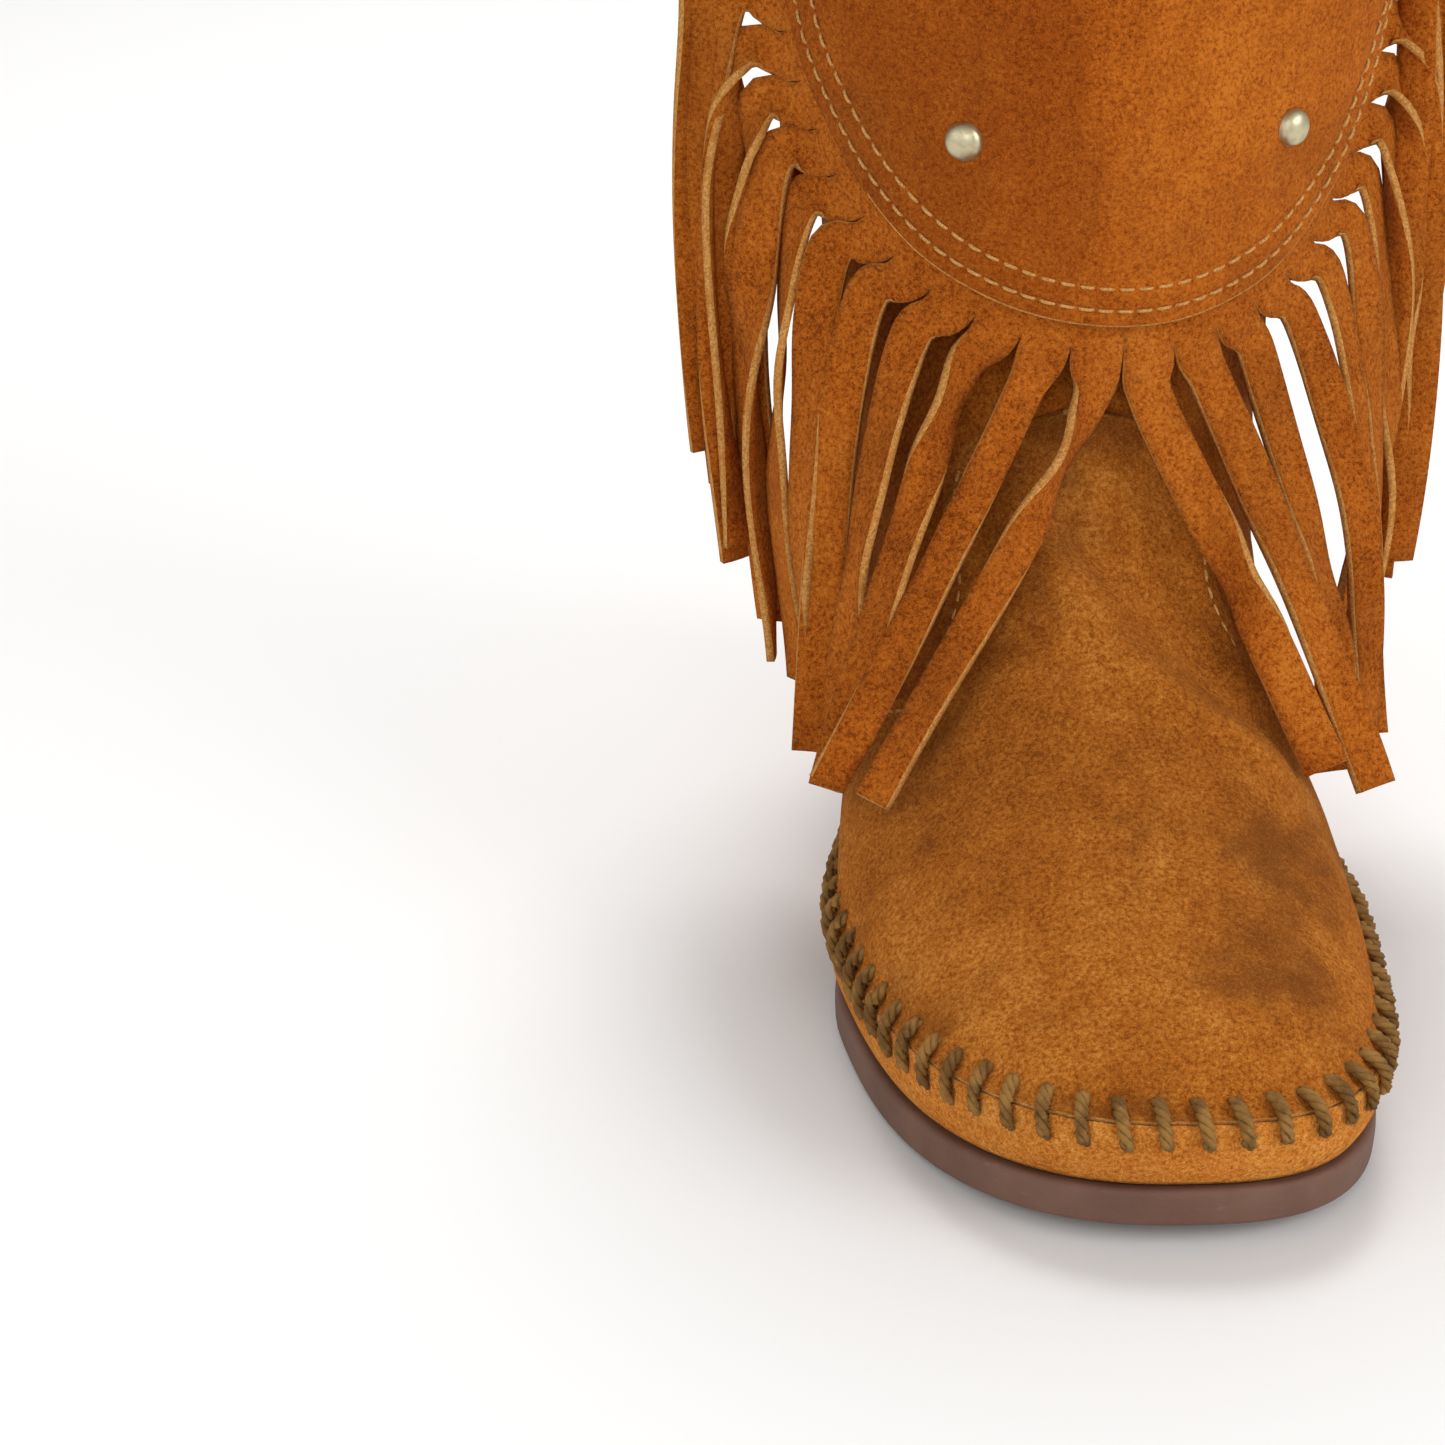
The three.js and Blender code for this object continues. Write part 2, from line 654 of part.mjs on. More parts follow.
// Strip i leaves the flap's edge at turn k, stands out to a shoulder and hangs from it to its tip.
function frontStrip(i, k) {
  const place = (beyond) => flapPoint(...flapEdge(k, beyond), bandDepth);
  const start = place(0);
  const edgeStep = 0.01;
  const along = flapPoint(...flapEdge(k + edgeStep, 0), bandDepth)
    .sub(flapPoint(...flapEdge(k - edgeStep, 0), bandDepth)).normalize();
  const turn = Math.abs(k);
  const sideShare = Math.min(1, turn / sideTurn);
  const sign = k < 0 ? -1 : 1;
  const outward = place(fringeBorder + 2).sub(place(fringeBorder)).normalize();
  const shoulder = start.clone().addScaledVector(outward, mix(shoulderFront, shoulderSide, sideShare));
  shoulder.y -= shoulderForward * flapLowered * (1 - sideShare);
  const tip = frontTip(i, turn, sign, start);
  const middle = shoulder.clone().lerp(tip, middleShare);
  middle.x += sign * middleBulge.aside;
  middle.y -= (middleBulge.forward + flapLowered) * (1 - sideShare);
  middle.z -= middleBulge.down;
  const curve = new THREE.CatmullRomCurve3([start, place(fringeBorder), shoulder, middle, tip]);
  const hang = new THREE.Vector3(mix(1, 0.35, sideShare), sign * mix(0, 0.94, sideShare), 0);
  if (along.x < 0) along.negate();
  return strip(curve, along, hang);
}

function frontTip(i, turn, sign, start) {
  const tips = sign < 0 ? outerTips : innerTips;
  const spread = mix(tips.near, tips.far, smooth(turn / tips.turn));
  const back = smooth(turn / tipTurn);
  const drop = (frontStripLength + fringeBorder) * mix(frontHang, sideHang, back);
  const shaftGain = (referenceShaft - shaftWidth) / 6;
  const wider = (ballWidth - referenceBall) / 2 + shaftGain + loweredAside * flapLowered;
  return new THREE.Vector3(
    start.x + sign * (spread + wider + tipSway * sway(i)),
    start.y + mix(-tipForward - loweredForward * flapLowered, tipBack, back) + tipSway * sway(i + 3),
    Math.max(start.z - drop, lowestTip),
  );
}

// The front fringe is cut in two pieces, which meet under the flap's point.
function addFrontFringe() {
  const place = (k) => flapPoint(...flapEdge(k, fringeBorder), bandDepth);
  const stepK = 0.004;
  const firstTurn = slitWidth / 2 / flapHalfWidth;
  let count = 0;
  for (const [name, sign] of [['inner_front_fringe', 1], ['outer_front_fringe', -1]]) {
    const band = slab(18, 1, (i, j, side) => {
      const k = sign * mix(firstTurn, fringeReach, i);
      const out = side ? bandFace : bandFace - stripThickness;
      return flapPoint(...flapEdge(k, mix(fringeBorder, -fringeUnderlap, j)), out);
    });
    let solid = toSolid(band);
    let walked = 0;
    let next = stripWidth / 2 + slitWidth;
    for (let k = 0; k < fringeReach; k += stepK) {
      walked += place(sign * (k + stepK)).distanceTo(place(sign * k));
      if (walked >= next) {
        solid = solid.add(toSolid(frontStrip(count, sign * k)));
        next += stripWidth;
        count += 1;
      }
    }
    add(name, fromSolid(solid), materials.suede);
  }
}

// ---- rear fringe, one piece on each side of the back opening

function addRearFringe() {
  const top = flapTop;
  const start = Math.asin(0.98) + 0.15;
  const end = Math.PI - Math.asin(backOpening / 2 / shaftAt(top).half);
  const out = clearance + stripThickness / 2;
  const radius = (shaftAt(top).half + shaftAt(top).depth) / 2;
  const count = Math.floor(((end - start) * radius) / stripWidth);
  for (const [name, sign] of [['inner_rear_fringe', 1], ['outer_rear_fringe', -1]]) {
    const band = slab(16, 1, (i, j, side) => {
      const phi = sign * mix(start, end, i);
      const z = mix(top, top - rearBandDepth, j);
      return shaftPoint(phi, z, out + (side ? 0.5 : -0.5) * stripThickness);
    });
    let solid = toSolid(band);
    for (let i = 0; i < count; i += 1) {
      const phi = sign * mix(start, end, (i + 0.5) / count);
      const lift = rearLift + rearSway * sway(i + 7 * sign);
      const at = (share, beyond) => (
        shaftPoint(phi, top - rearBandDepth - rearStripLength * share, out + beyond));
      const points = [shaftPoint(phi, top - 4, out), shaftPoint(phi, top - rearBandDepth, out),
        at(0.25, 1.5), at(0.6, lift * 0.7), at(1, lift)];
      const across = new THREE.Vector3(Math.cos(phi), Math.sin(phi), 0);
      solid = solid.add(toSolid(strip(new THREE.CatmullRomCurve3(points), across, across)));
    }
    add(name, fromSolid(solid), materials.suede);
  }
}

// ---- back zip

const zipTop = bootHeight - bindingDepth - 2 * clearance;
const chainTop = zipTop - stopHeight - clearance;
const backY = shaftAt(bootHeight).middle + shaftAt(bootHeight).depth;
const tapeFace = backY - suede - clearance - facetRoom;
const chainBack = tapeFace - 2.1;
const chainFront = chainBack + chainThickness;

function addZipTapes() {
  const rings = ringsBetween(ringAtBack(zipBottom - stopHeight), ringAtBack(zipTop));
  const nearEdge = chainGap / 2 + chainHalfWidth + 2 * clearance;
  const outside = -suede - clearance - facetRoom;
  for (const [name, sign] of [['zip_tape_inner', 1], ['zip_tape_outer', -1]]) {
    const angleAt = (i, v) => sign * (Math.PI - backAngle(v, mix(nearEdge, nearEdge + tapeWidth, i)));
    add(name, panel(rings, 4, angleAt, outside, outside - tapeThickness), materials.tape);
  }
}

function addChain() {
  const near = chainGap / 2;
  const far = near + chainHalfWidth;
  const stopBottom = zipBottom - stopHeight;
  add('zip_chain_inner', box(near, far, chainBack, chainFront, zipBottom, chainTop), materials.zip);
  add('zip_chain_outer', box(-far, -near, chainBack, chainFront, zipBottom, chainTop), materials.zip);
  const stopTop = chainTop + clearance + stopHeight;
  const stopBase = chainTop + clearance;
  add('zip_top_stop_inner', box(near, far, chainBack, chainFront, stopBase, stopTop), materials.zip);
  add('zip_top_stop_outer', box(-far, -near, chainBack, chainFront, stopBase, stopTop), materials.zip);
  const bottomStop = box(-far, far, chainBack, chainFront, stopBottom, zipBottom - clearance);
  add('zip_bottom_stop', bottomStop, materials.zip);
}

const sliderTop = chainTop - 0.5;
const sliderBottom = sliderTop - sliderLength;
const plateFront = chainFront + clearance;
const pinY = plateFront + sliderWall + eyeRadius + 2 * clearance;
const pinZ = (sliderTop + sliderBottom) / 2 + 1;

function cylinderAcross(radius, halfLength, y, z) {
  const geometry = new THREE.CylinderGeometry(radius, radius, 2 * halfLength, 16);
  return geometry.rotateZ(Math.PI / 2).translate(0, y, z);
}

function addSlider() {
  const half = sliderWidth / 2;
  const neck = chainGap / 2 - clearance;
  const backPlate = chainBack - clearance;
  const plate = box(-half, half, plateFront, plateFront + sliderWall, sliderBottom, sliderTop);
  const rear = box(-half, half, backPlate - sliderWall, backPlate, sliderBottom, sliderTop);
  const web = box(-neck, neck, backPlate - 0.5, plateFront + 0.5, sliderBottom + 1, sliderTop);
  const eyeHalf = 2;
  const earNear = eyeHalf + clearance;
  const earFar = earNear + earThickness;
  let solid = toSolid(plate).add(toSolid(rear)).add(toSolid(web));
  for (const [x0, x1] of [[earNear, earFar], [-earFar, -earNear]]) {
    const ear = box(x0, x1, plateFront + 0.5, pinY + pinRadius + 0.3, pinZ - 2, pinZ + 2);
    solid = solid.add(toSolid(ear));
  }
  solid = solid.add(toSolid(cylinderAcross(pinRadius, earFar - 0.1, pinY, pinZ)));
  add('zip_slider', fromSolid(solid), materials.zip);
  addPull(eyeHalf);
}

function addPull(eyeHalf) {
  const eye = cylinderAcross(eyeRadius, eyeHalf, pinY, pinZ);
  const neckTop = pinZ - pinRadius - pinClearance;
  const halfThick = pullThickness / 2;
  const neckHalf = eyeHalf - 0.2;
  const neck = box(-neckHalf, neckHalf, pinY - halfThick, pinY + halfThick, pinZ - 8, neckTop - 0.2);
  const shape = new THREE.Shape();
  const half = pullWidth / 2;
  shape.moveTo(-half + 1, 0);
  shape.lineTo(half - 1, 0);
  shape.lineTo(half, -4);
  shape.lineTo(half, -pullLength + half + 6);
  shape.absarc(0, -pullLength + half + 6, half, 0, -Math.PI, true);
  shape.lineTo(-half, -4);
  const leaf = { depth: pullThickness, bevelEnabled: false, curveSegments: 8 };
  const tab = new THREE.ExtrudeGeometry(shape, leaf);
  tab.rotateX(Math.PI / 2).translate(0, pinY + halfThick, pinZ - 6);
  let solid = toSolid(eye).add(toSolid(neck)).add(toSolid(tab));
  const bore = cylinderAcross(pinRadius + pinClearance, eyeHalf + 1, pinY, pinZ);
  solid = solid.subtract(toSolid(bore));
  add('zip_pull', fromSolid(solid), materials.zip);
}

addSoleUnit();
addForefoot();
addQuarters();
addHeelParts();
addBinding();
addFlap();
addStuds();
addFrontFringe();
addRearFringe();
addZipTapes();
addChain();
addSlider();

export default boot;
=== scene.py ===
from math import asin, cos, floor, pi, radians, sin, sqrt

import bmesh
import bpy
from mathutils import Matrix, Vector, noise


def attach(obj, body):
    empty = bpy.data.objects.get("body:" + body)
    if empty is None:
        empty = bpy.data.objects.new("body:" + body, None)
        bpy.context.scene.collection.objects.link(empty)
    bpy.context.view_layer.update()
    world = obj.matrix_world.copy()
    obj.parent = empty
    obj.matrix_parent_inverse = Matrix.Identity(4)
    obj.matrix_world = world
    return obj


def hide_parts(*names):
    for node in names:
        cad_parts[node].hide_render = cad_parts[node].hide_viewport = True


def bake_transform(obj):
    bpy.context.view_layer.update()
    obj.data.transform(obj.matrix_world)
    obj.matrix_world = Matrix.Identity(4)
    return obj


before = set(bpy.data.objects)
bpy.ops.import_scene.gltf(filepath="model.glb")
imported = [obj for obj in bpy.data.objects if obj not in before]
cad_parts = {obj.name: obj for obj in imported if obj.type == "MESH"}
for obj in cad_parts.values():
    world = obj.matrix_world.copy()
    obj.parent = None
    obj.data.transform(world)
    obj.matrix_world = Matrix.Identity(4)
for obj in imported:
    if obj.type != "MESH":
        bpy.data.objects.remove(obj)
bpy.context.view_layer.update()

mm = 0.001

# ------ camera

cameraSetup = {
    "place": (-0.1017, -0.6746, 0.362),
    "pitchDown": 25.0,
    "turn": -2.47,
    "lens": 89.9,
}


def makeCamera():
    data = bpy.data.cameras.new("camera")
    data.lens = cameraSetup["lens"]
    data.sensor_width = 36
    data.clip_end = 20
    camera = bpy.data.objects.new("camera", data)
    camera.location = cameraSetup["place"]
    camera.rotation_euler = (radians(90 - cameraSetup["pitchDown"]), 0, radians(cameraSetup["turn"]))
    bpy.context.scene.collection.objects.link(camera)
    bpy.context.scene.camera = camera


makeCamera()


# ------ shader helpers

class Socket:
    # one output of a shader node, so that sums can be written as sums
    def __init__(self, paint, output):
        self.paint = paint
        self.output = output

    def sum(self, operation, *others):
        inputs = {i: value for i, value in enumerate(others)}
        return self.paint.make("Math", {"operation": operation}, inputs)

    def __add__(self, other):
        return self.sum("ADD", self, other)

    def __radd__(self, other):
        return self.sum("ADD", other, self)

    def __sub__(self, other):
        return self.sum("SUBTRACT", self, other)

    def __rsub__(self, other):
        return self.sum("SUBTRACT", other, self)

    def __mul__(self, other):
        return self.sum("MULTIPLY", self, other)

    def __rmul__(self, other):
        return self.sum("MULTIPLY", other, self)

    def __pow__(self, other):
        return self.sum("POWER", self, other)

    def clamp(self, low, high):
        settings = {"interpolation_type": "SMOOTHSTEP"}
        inputs = {"Value": self, "From Min": low, "From Max": high}
        return self.paint.make("MapRange", settings, inputs)


class Paint:
    # a material and the one way in which its nodes are made
    def __init__(self, name):
        self.material = bpy.data.materials.new(name)
        self.material.use_nodes = True
        self.tree = self.material.node_tree
        self.tree.nodes.clear()

    def make(self, kind, settings=None, inputs=None, pick=0):
        node = self.tree.nodes.new("ShaderNode" + kind)
        for key, value in (settings or {}).items():
            if key == "stops":
                self.setStops(node.color_ramp, value)
            else:
                setattr(node, key, value)
        for key, value in (inputs or {}).items():
            if isinstance(value, Socket):
                self.tree.links.new(value.output, node.inputs[key])
            else:
                node.inputs[key].default_value = value
        return Socket(self, node.outputs[pick]) if len(node.outputs) else None

    def setStops(self, ramp, stops):
        while len(ramp.elements) < len(stops):
            ramp.elements.new(0.5)
        for element, (place, colour) in zip(ramp.elements, stops):
            element.position = place
            element.color = (*colour, 1)

    def place(self):
        return self.make("TexCoord", pick="Object")

    def grain(self, place, scale, detail=4, roughness=0.55, distortion=0.0):
        inputs = {"Vector": place, "Scale": scale, "Detail": detail, "Roughness": roughness,
                  "Distortion": distortion}
        return self.make("TexNoise", None, inputs)

    def stretched(self, place, scale):
        return self.make("Mapping", None, {"Vector": place, "Scale": scale})

    def blend(self, factor, first, second):
        first = first if isinstance(first, Socket) else (*first, 1)
        second = second if isinstance(second, Socket) else (*second, 1)
        inputs = {0: factor, 6: first, 7: second}
        return self.make("Mix", {"data_type": "RGBA"}, inputs, pick=2)

    def bump(self, height, distance, strength=1.0, under=None):
        inputs = {"Height": height, "Distance": distance, "Strength": strength}
        if under:
            inputs["Normal"] = under
        return self.make("Bump", None, inputs)

    def finish(self, **sockets):
        names = {key.replace("_", " "): value for key, value in sockets.items()}
        colour = names.get("Base Color")
        if isinstance(colour, tuple):
            names["Base Color"] = (*colour, 1)
        shader = self.make("BsdfPrincipled", None, names)
        self.make("OutputMaterial", None, {"Surface": shader})
        return self.material


# ------ finishes

suedeLook = {
    # each finish: dark, middle and light of the nap
    "shaft": ((0.20, 0.042, 0.004), (0.41, 0.110, 0.011), (0.60, 0.205, 0.028)),
    "plug": ((0.21, 0.050, 0.005), (0.43, 0.125, 0.013), (0.64, 0.255, 0.044)),
    "flap": ((0.19, 0.034, 0.003), (0.42, 0.094, 0.008), (0.62, 0.185, 0.020)),
    "wrap": ((0.36, 0.090, 0.008), (0.63, 0.205, 0.027), (0.82, 0.39, 0.090)),
    "strip": ((0.19, 0.036, 0.003), (0.45, 0.110, 0.010), (0.64, 0.205, 0.026)),
    "stain": (0.135, 0.036, 0.007),
    "edge": (0.70, 0.36, 0.11),
    "napBump": 0.0006,
}


def suede(name, colours, stainAmount=0.5, fuzz=0.5, seed=0.0, paintedSideShading=False):
    deep, body, light = colours
    paint = Paint(name)
    shift = (seed, seed * 0.7, seed * 0.3)
    place = paint.make("Mapping", None, {"Vector": paint.place(), "Location": shift})
    fibres = paint.grain(place, 3400, 2, 0.75)
    nap = paint.grain(place, 1150, 4, 0.75)
    mottle = paint.grain(place, 190, 5, 0.68)
    brushed = paint.grain(paint.stretched(place, (1.5, 1, 0.6)), 52, 4, 0.6, 0.3)
    clouds = paint.grain(place, 21, 3, 0.5)
    tone = fibres * 0.20 + nap * 0.40 + mottle * 0.13 + brushed * 0.13 + clouds * 0.14
    colour = paint.blend(tone.clamp(0.40, 0.505), deep, body)
    colour = paint.blend(tone.clamp(0.49, 0.60), colour, light)
    if paintedSideShading:
        # painted light and shade across the piece's x: the left half (x below 0) is darkened towards the
        # deep colour as painted shade, and the right half is lightened towards the light colour as painted
        # light, as if the light came from the right across the crease
        across = paint.make("SeparateXYZ", None, {"Vector": paint.place()})
        swirl = brushed * 0.02 - 0.01
        colour = paint.blend((across + swirl).clamp(0.003, -0.004) * 0.38, colour, deep)
        colour = paint.blend((across + swirl).clamp(-0.001, 0.007) * 0.14, colour, light)
    stains = paint.grain(place, 24, 5, 0.55, 0.3)
    darker = paint.grain(place, 64, 5, 0.65)
    soiled = (stains * 0.7 + darker * 0.3).clamp(0.47, 0.66) * stainAmount
    colour = paint.blend(soiled, colour, suedeLook["stain"])
    speck = fibres.clamp(0.56, 0.70) * (0.8 * fuzz)
    colour = paint.blend(speck, colour, light)
    shade = nap.clamp(0.50, 0.34) * 0.55
    colour = paint.blend(shade, colour, deep)
    height = fibres * 0.5 + nap * 0.9 + mottle * 0.6
    normal = paint.bump(height, suedeLook["napBump"], 1.0)
    rough = 0.84 + 0.14 * nap
    return paint.finish(Base_Color=colour, Roughness=rough, Normal=normal, Sheen_Weight=0.1,
                        Sheen_Roughness=0.45, Sheen_Tint=(1.0, 0.55, 0.2, 1), Specular_IOR_Level=0.03)


def cutEdge(name, seed=0.0):
    paint = Paint(name)
    place = paint.make("Mapping", None, {"Vector": paint.place(), "Location": (seed, 0, 0)})
    fibres = paint.grain(place, 1800, 4, 0.7)
    clumps = paint.grain(place, 260, 3, 0.6)
    colour = paint.blend(fibres.clamp(0.35, 0.65), (0.42, 0.17, 0.036), suedeLook["edge"])
    colour = paint.blend(clumps.clamp(0.45, 0.7) * 0.6, colour, (0.46, 0.16, 0.024))
    normal = paint.bump(fibres + clumps, 0.0004)
    return paint.finish(Base_Color=colour, Roughness=0.95, Normal=normal, Specular_IOR_Level=0.03)


def waxedCord():
    paint = Paint("waxedCord")
    fibres = paint.grain(paint.place(), 2600, 3, 0.7)
    shade = paint.grain(paint.place(), 180, 3, 0.5)
    colour = paint.blend(shade.clamp(0.35, 0.65), (0.15, 0.066, 0.010), (0.32, 0.160, 0.034))
    colour = paint.blend(fibres.clamp(0.55, 0.8) * 0.5, colour, (0.58, 0.37, 0.13))
    normal = paint.bump(fibres, 0.0003)
    return paint.finish(Base_Color=colour, Roughness=0.72, Normal=normal, Specular_IOR_Level=0.3)


def sewingThread():
    paint = Paint("sewingThread")
    fibres = paint.grain(paint.place(), 3000, 3, 0.6)
    colour = paint.blend(fibres.clamp(0.3, 0.7), (0.36, 0.15, 0.035), (0.68, 0.38, 0.13))
    return paint.finish(Base_Color=colour, Roughness=0.8, Specular_IOR_Level=0.1)


def soleRubber():
    paint = Paint("soleRubber")
    place = paint.place()
    fine = paint.grain(place, 900, 4, 0.6)
    scuffs = paint.grain(paint.stretched(place, (1, 1, 3.5)), 120, 6, 0.7, 1.5)
    dust = paint.grain(place, 45, 4, 0.6)
    colour = paint.blend(dust.clamp(0.35, 0.7), (0.132, 0.060, 0.038), (0.170, 0.086, 0.056))
    colour = paint.blend(scuffs.clamp(0.60, 0.80) * 0.45, colour, (0.30, 0.21, 0.18))
    normal = paint.bump(fine * 0.5 + scuffs, 0.00025)
    rough = 0.52 + 0.25 * dust
    return paint.finish(Base_Color=colour, Roughness=rough, Normal=normal, Specular_IOR_Level=0.4)


def metal(name, bright, dull, rough=0.28, wear=0.5):
    paint = Paint(name)
    place = paint.place()
    tarnish = paint.grain(place, 420, 5, 0.6, 0.5)
    scratch = paint.grain(paint.stretched(place, (1, 4, 1)), 1500, 3, 0.6)
    colour = paint.blend(tarnish.clamp(0.42, 0.66) * wear, bright, dull)
    roughness = rough + 0.22 * tarnish.clamp(0.4, 0.7)
    normal = paint.bump(scratch, 0.00003)
    return paint.finish(Base_Color=colour, Roughness=roughness, Metallic=1.0, Normal=normal)


def fibreBoard():
    paint = Paint("fibreBoard")
    fibres = paint.grain(paint.stretched(paint.place(), (1, 3, 1)), 700, 5, 0.65)
    colour = paint.blend(fibres.clamp(0.35, 0.65), (0.30, 0.19, 0.09), (0.55, 0.40, 0.23))
    return paint.finish(Base_Color=colour, Roughness=0.9, Normal=paint.bump(fibres, 0.0002))


def liningLeather():
    paint = Paint("liningLeather")
    place = paint.place()
    pores = paint.make("TexVoronoi", {"feature": "F1"}, {"Vector": place, "Scale": 900})
    wear = paint.grain(place, 26, 5, 0.6, 0.5)
    colour = paint.blend(wear.clamp(0.38, 0.66), (0.30, 0.125, 0.045), (0.47, 0.23, 0.10))
    normal = paint.bump(pores, 0.00012)
    return paint.finish(Base_Color=colour, Roughness=0.62, Normal=normal, Specular_IOR_Level=0.35)


def wovenTape():
    paint = Paint("wovenTape")
    place = paint.place()
    across = paint.make("TexWave", {"bands_direction": "X"}, {"Vector": place, "Scale": 420.0})
    upward = paint.make("TexWave", {"bands_direction": "Z"}, {"Vector": place, "Scale": 420.0})
    weave = across * upward
    colour = paint.blend(weave, (0.065, 0.028, 0.012), (0.17, 0.08, 0.035))
    return paint.finish(Base_Color=colour, Roughness=0.85, Normal=paint.bump(weave, 0.0002))


finishes = {
    "suede": suede("tanSuede", suedeLook["shaft"], 0.4),
    "plug": suede("plugSuede", suedeLook["plug"], 0.75, 0.6, 0.37),
    # the flap's suede gets painted shade on its left half and painted light on its right half (last
    # argument)
    "flap": suede("flapSuede", suedeLook["flap"], 0.3, 0.7, 0.8, True),
    "wrap": suede("wrapSuede", suedeLook["wrap"], 0.12, 1.0, 1.3),
    "strip": suede("stripSuede", suedeLook["strip"], 0.3, 0.6, 1.9),
    "edge": cutEdge("cutEdge"),
    "cord": waxedCord(),
    "thread": sewingThread(),
    "rubber": soleRubber(),
    "stud": metal("studMetal", (0.56, 0.50, 0.33), (0.38, 0.32, 0.19), 0.36, 0.35),
    "zipMetal": metal("zipMetal", (0.50, 0.38, 0.20), (0.16, 0.10, 0.05), 0.32, 0.8),
    "board": fibreBoard(),
    "lining": liningLeather(),
    "tape": wovenTape(),
}
print("finishes made")


# ------ the boot's form, in millimetres

bootForm = {
    # front y and z, back y and z, half widths at toe, ball, waist and heel, squareness, toe's lean
    "rings": [
        [-125, 8.3, 124.5, 10.3, 55, 51.5, 36, 37.5, 2.6, 7.5],
        [-127, 14.5, 126.5, 18, 57.5, 54, 38.5, 40, 2.6, 7.5],
        [-126, 21, 127, 28, 57, 53, 40, 41, 2.6, 7.5],
        [-107, 34.5, 126.5, 38, 51.5, 49, 42, 41, 2.4, 6.5],
        [-78, 48, 125, 50, 42, 43, 43, 41.5, 2.4, 3],
        [-47, 62, 123.5, 62, 38, 41, 43.5, 42, 2.3, 1.5],
        [-18, 80, 122.3, 76, 38, 41, 44.5, 43, 2.2, 0],
        [3, 101, 122, 93, 41, 43.5, 46, 45, 2.1, 0],
        [12.5, 126, 122, 120, 46, 47, 48, 48, 2, 0],
        [13, 162, 122, 160, 50, 50, 50, 50, 2, 0],
        [8.5, 205, 122, 205, 54, 54, 54, 54, 2, 0],
        [4, 248, 122, 248, 57, 57, 57, 57, 2, 0],
    ],
    "widthStations": [0, 0.3, 0.6, 0.9, 1],
    "springStart": -67.0,
    "springLength": 60.0,
    "springRise": 4.0,
    "suede": 2.0,
    "seamRing": 2.0,
    "tongueTop": 7.35,
    "tongueRound": 6.6,
    "tongueEdge": 0.6,
    "bootHeight": 248.0,
}
topRing = len(bootForm["rings"]) - 1


def smooth(t):
    k = min(1, max(0, t))
    return k * k * (3 - 2 * k)


def mix(a, b, t):
    return a + (b - a) * t


madeRings = {}


def ringAt(v):
    if v in madeRings:
        return madeRings[v]
    i = min(topRing - 1, floor(v))
    t = v - i
    a, b, c, d = (bootForm["rings"][min(topRing, max(0, k))] for k in (i - 1, i, i + 1, i + 2))
    ring = []
    for p, q, r, s in zip(a, b, c, d):
        pull = r - p + t * (2 * p - 5 * q + 4 * r - s + t * (3 * (q - r) + s - p))
        ring.append(q + 0.5 * t * pull)
    madeRings[v] = ring
    return ring


def halfWidth(ring, s):
    widths = (ring[4], ring[5], ring[6], ring[7], ring[7])
    stations = bootForm["widthStations"]
    k = 0
    while k < 3 and s > stations[k + 1]:
        k += 1
    share = (s - stations[k]) / (stations[k + 1] - stations[k])
    return mix(widths[k], widths[k + 1], smooth(share))


def springAt(y):
    t = max(0, (bootForm["springStart"] - y) / bootForm["springLength"])
    return bootForm["springRise"] * t * t


def signedPower(value, power):
    return (1 if value >= 0 else -1) * abs(value) ** power


def basePoint(a, v):
    ring = ringAt(v)
    power = 2 / ring[8]
    s = (1 - signedPower(cos(a), power)) / 2
    lean = ring[9] * max(0, 1 - s / 0.35) ** 2
    x = halfWidth(ring, s) * signedPower(sin(a), power) + lean
    y = mix(ring[0], ring[2], s)
    z = mix(ring[1], ring[3], s) + springAt(y) * (1 - smooth((v - 2) / 3))
    return Vector((x, y, z))


def formNormal(a, v):
    step = 0.02
    low = max(0, v - step)
    high = min(topRing, v + step)
    du = basePoint(a + step, v) - basePoint(a - step, v)
    dv = basePoint(a, high) - basePoint(a, low)
    return du.cross(dv).normalized()


# soft folds and dents of the worn upper: places in mm, how high, how wide
folds = [
    {
        "path": [(-13, 2, 92), (-5, -12, 83), (4, -27, 74), (16, -36, 66), (32, -40, 56)],
        "rise": 3.0,
        "spread": 5.0,
    },
    {
        "path": [(-8, 4, 97), (2, -7, 90), (12, -17, 82), (24, -26, 71), (36, -30, 60)],
        "rise": -2.0,
        "spread": 6.0,
    },
    {"path": [(44, 45, 80), (46, 75, 92), (38, 105, 96)], "rise": 1.4, "spread": 8.0},
    {"path": [(-44, 35, 74), (-46, 70, 88), (-36, 108, 90)], "rise": 1.5, "spread": 8.0},
    {"path": [(46, 50, 108), (48, 84, 116), (36, 108, 118)], "rise": 1.2, "spread": 7.0},
    {"path": [(-46, 50, 112), (-48, 86, 104), (-34, 110, 108)], "rise": 1.1, "spread": 7.0},
]


def distanceToPath(point, path):
    best = 1e9
    for first, second in zip(path, path[1:]):
        a, b = Vector(first), Vector(second)
        along = b - a
        t = min(1, max(0, (point - a).dot(along) / along.length_squared))
        best = min(best, (point - a - along * t).length)
    return best


def wornShape(point, v):
    out = 0.0
    for fold in folds:
        d = distanceToPath(point, fold["path"]) / fold["spread"]
        if d < 3:
            out += fold["rise"] * 2.718 ** (-d * d)
    out += 1.1 * noise.noise(point / 38) + 0.35 * noise.noise(point / 13 + Vector((7, 3, 1)))
    return out * smooth((v - 1.6) / 1.6) * (1 - smooth((v - 10.2) / 0.8))


def formPoint(a, v, out=0.0):
    point = basePoint(a, v)
    return point + formNormal(a, v) * (out + wornShape(point, v))


def backAngle(v, distance):
    ring = ringAt(v)
    return asin((distance / ring[7]) ** (ring[8] / 2))


def ringAtBack(z):
    low, high = 0.0, float(topRing)
    for _ in range(40):
        middle = (low + high) / 2
        if ringAt(middle)[3] < z:
            low = middle
        else:
            high = middle
    return low


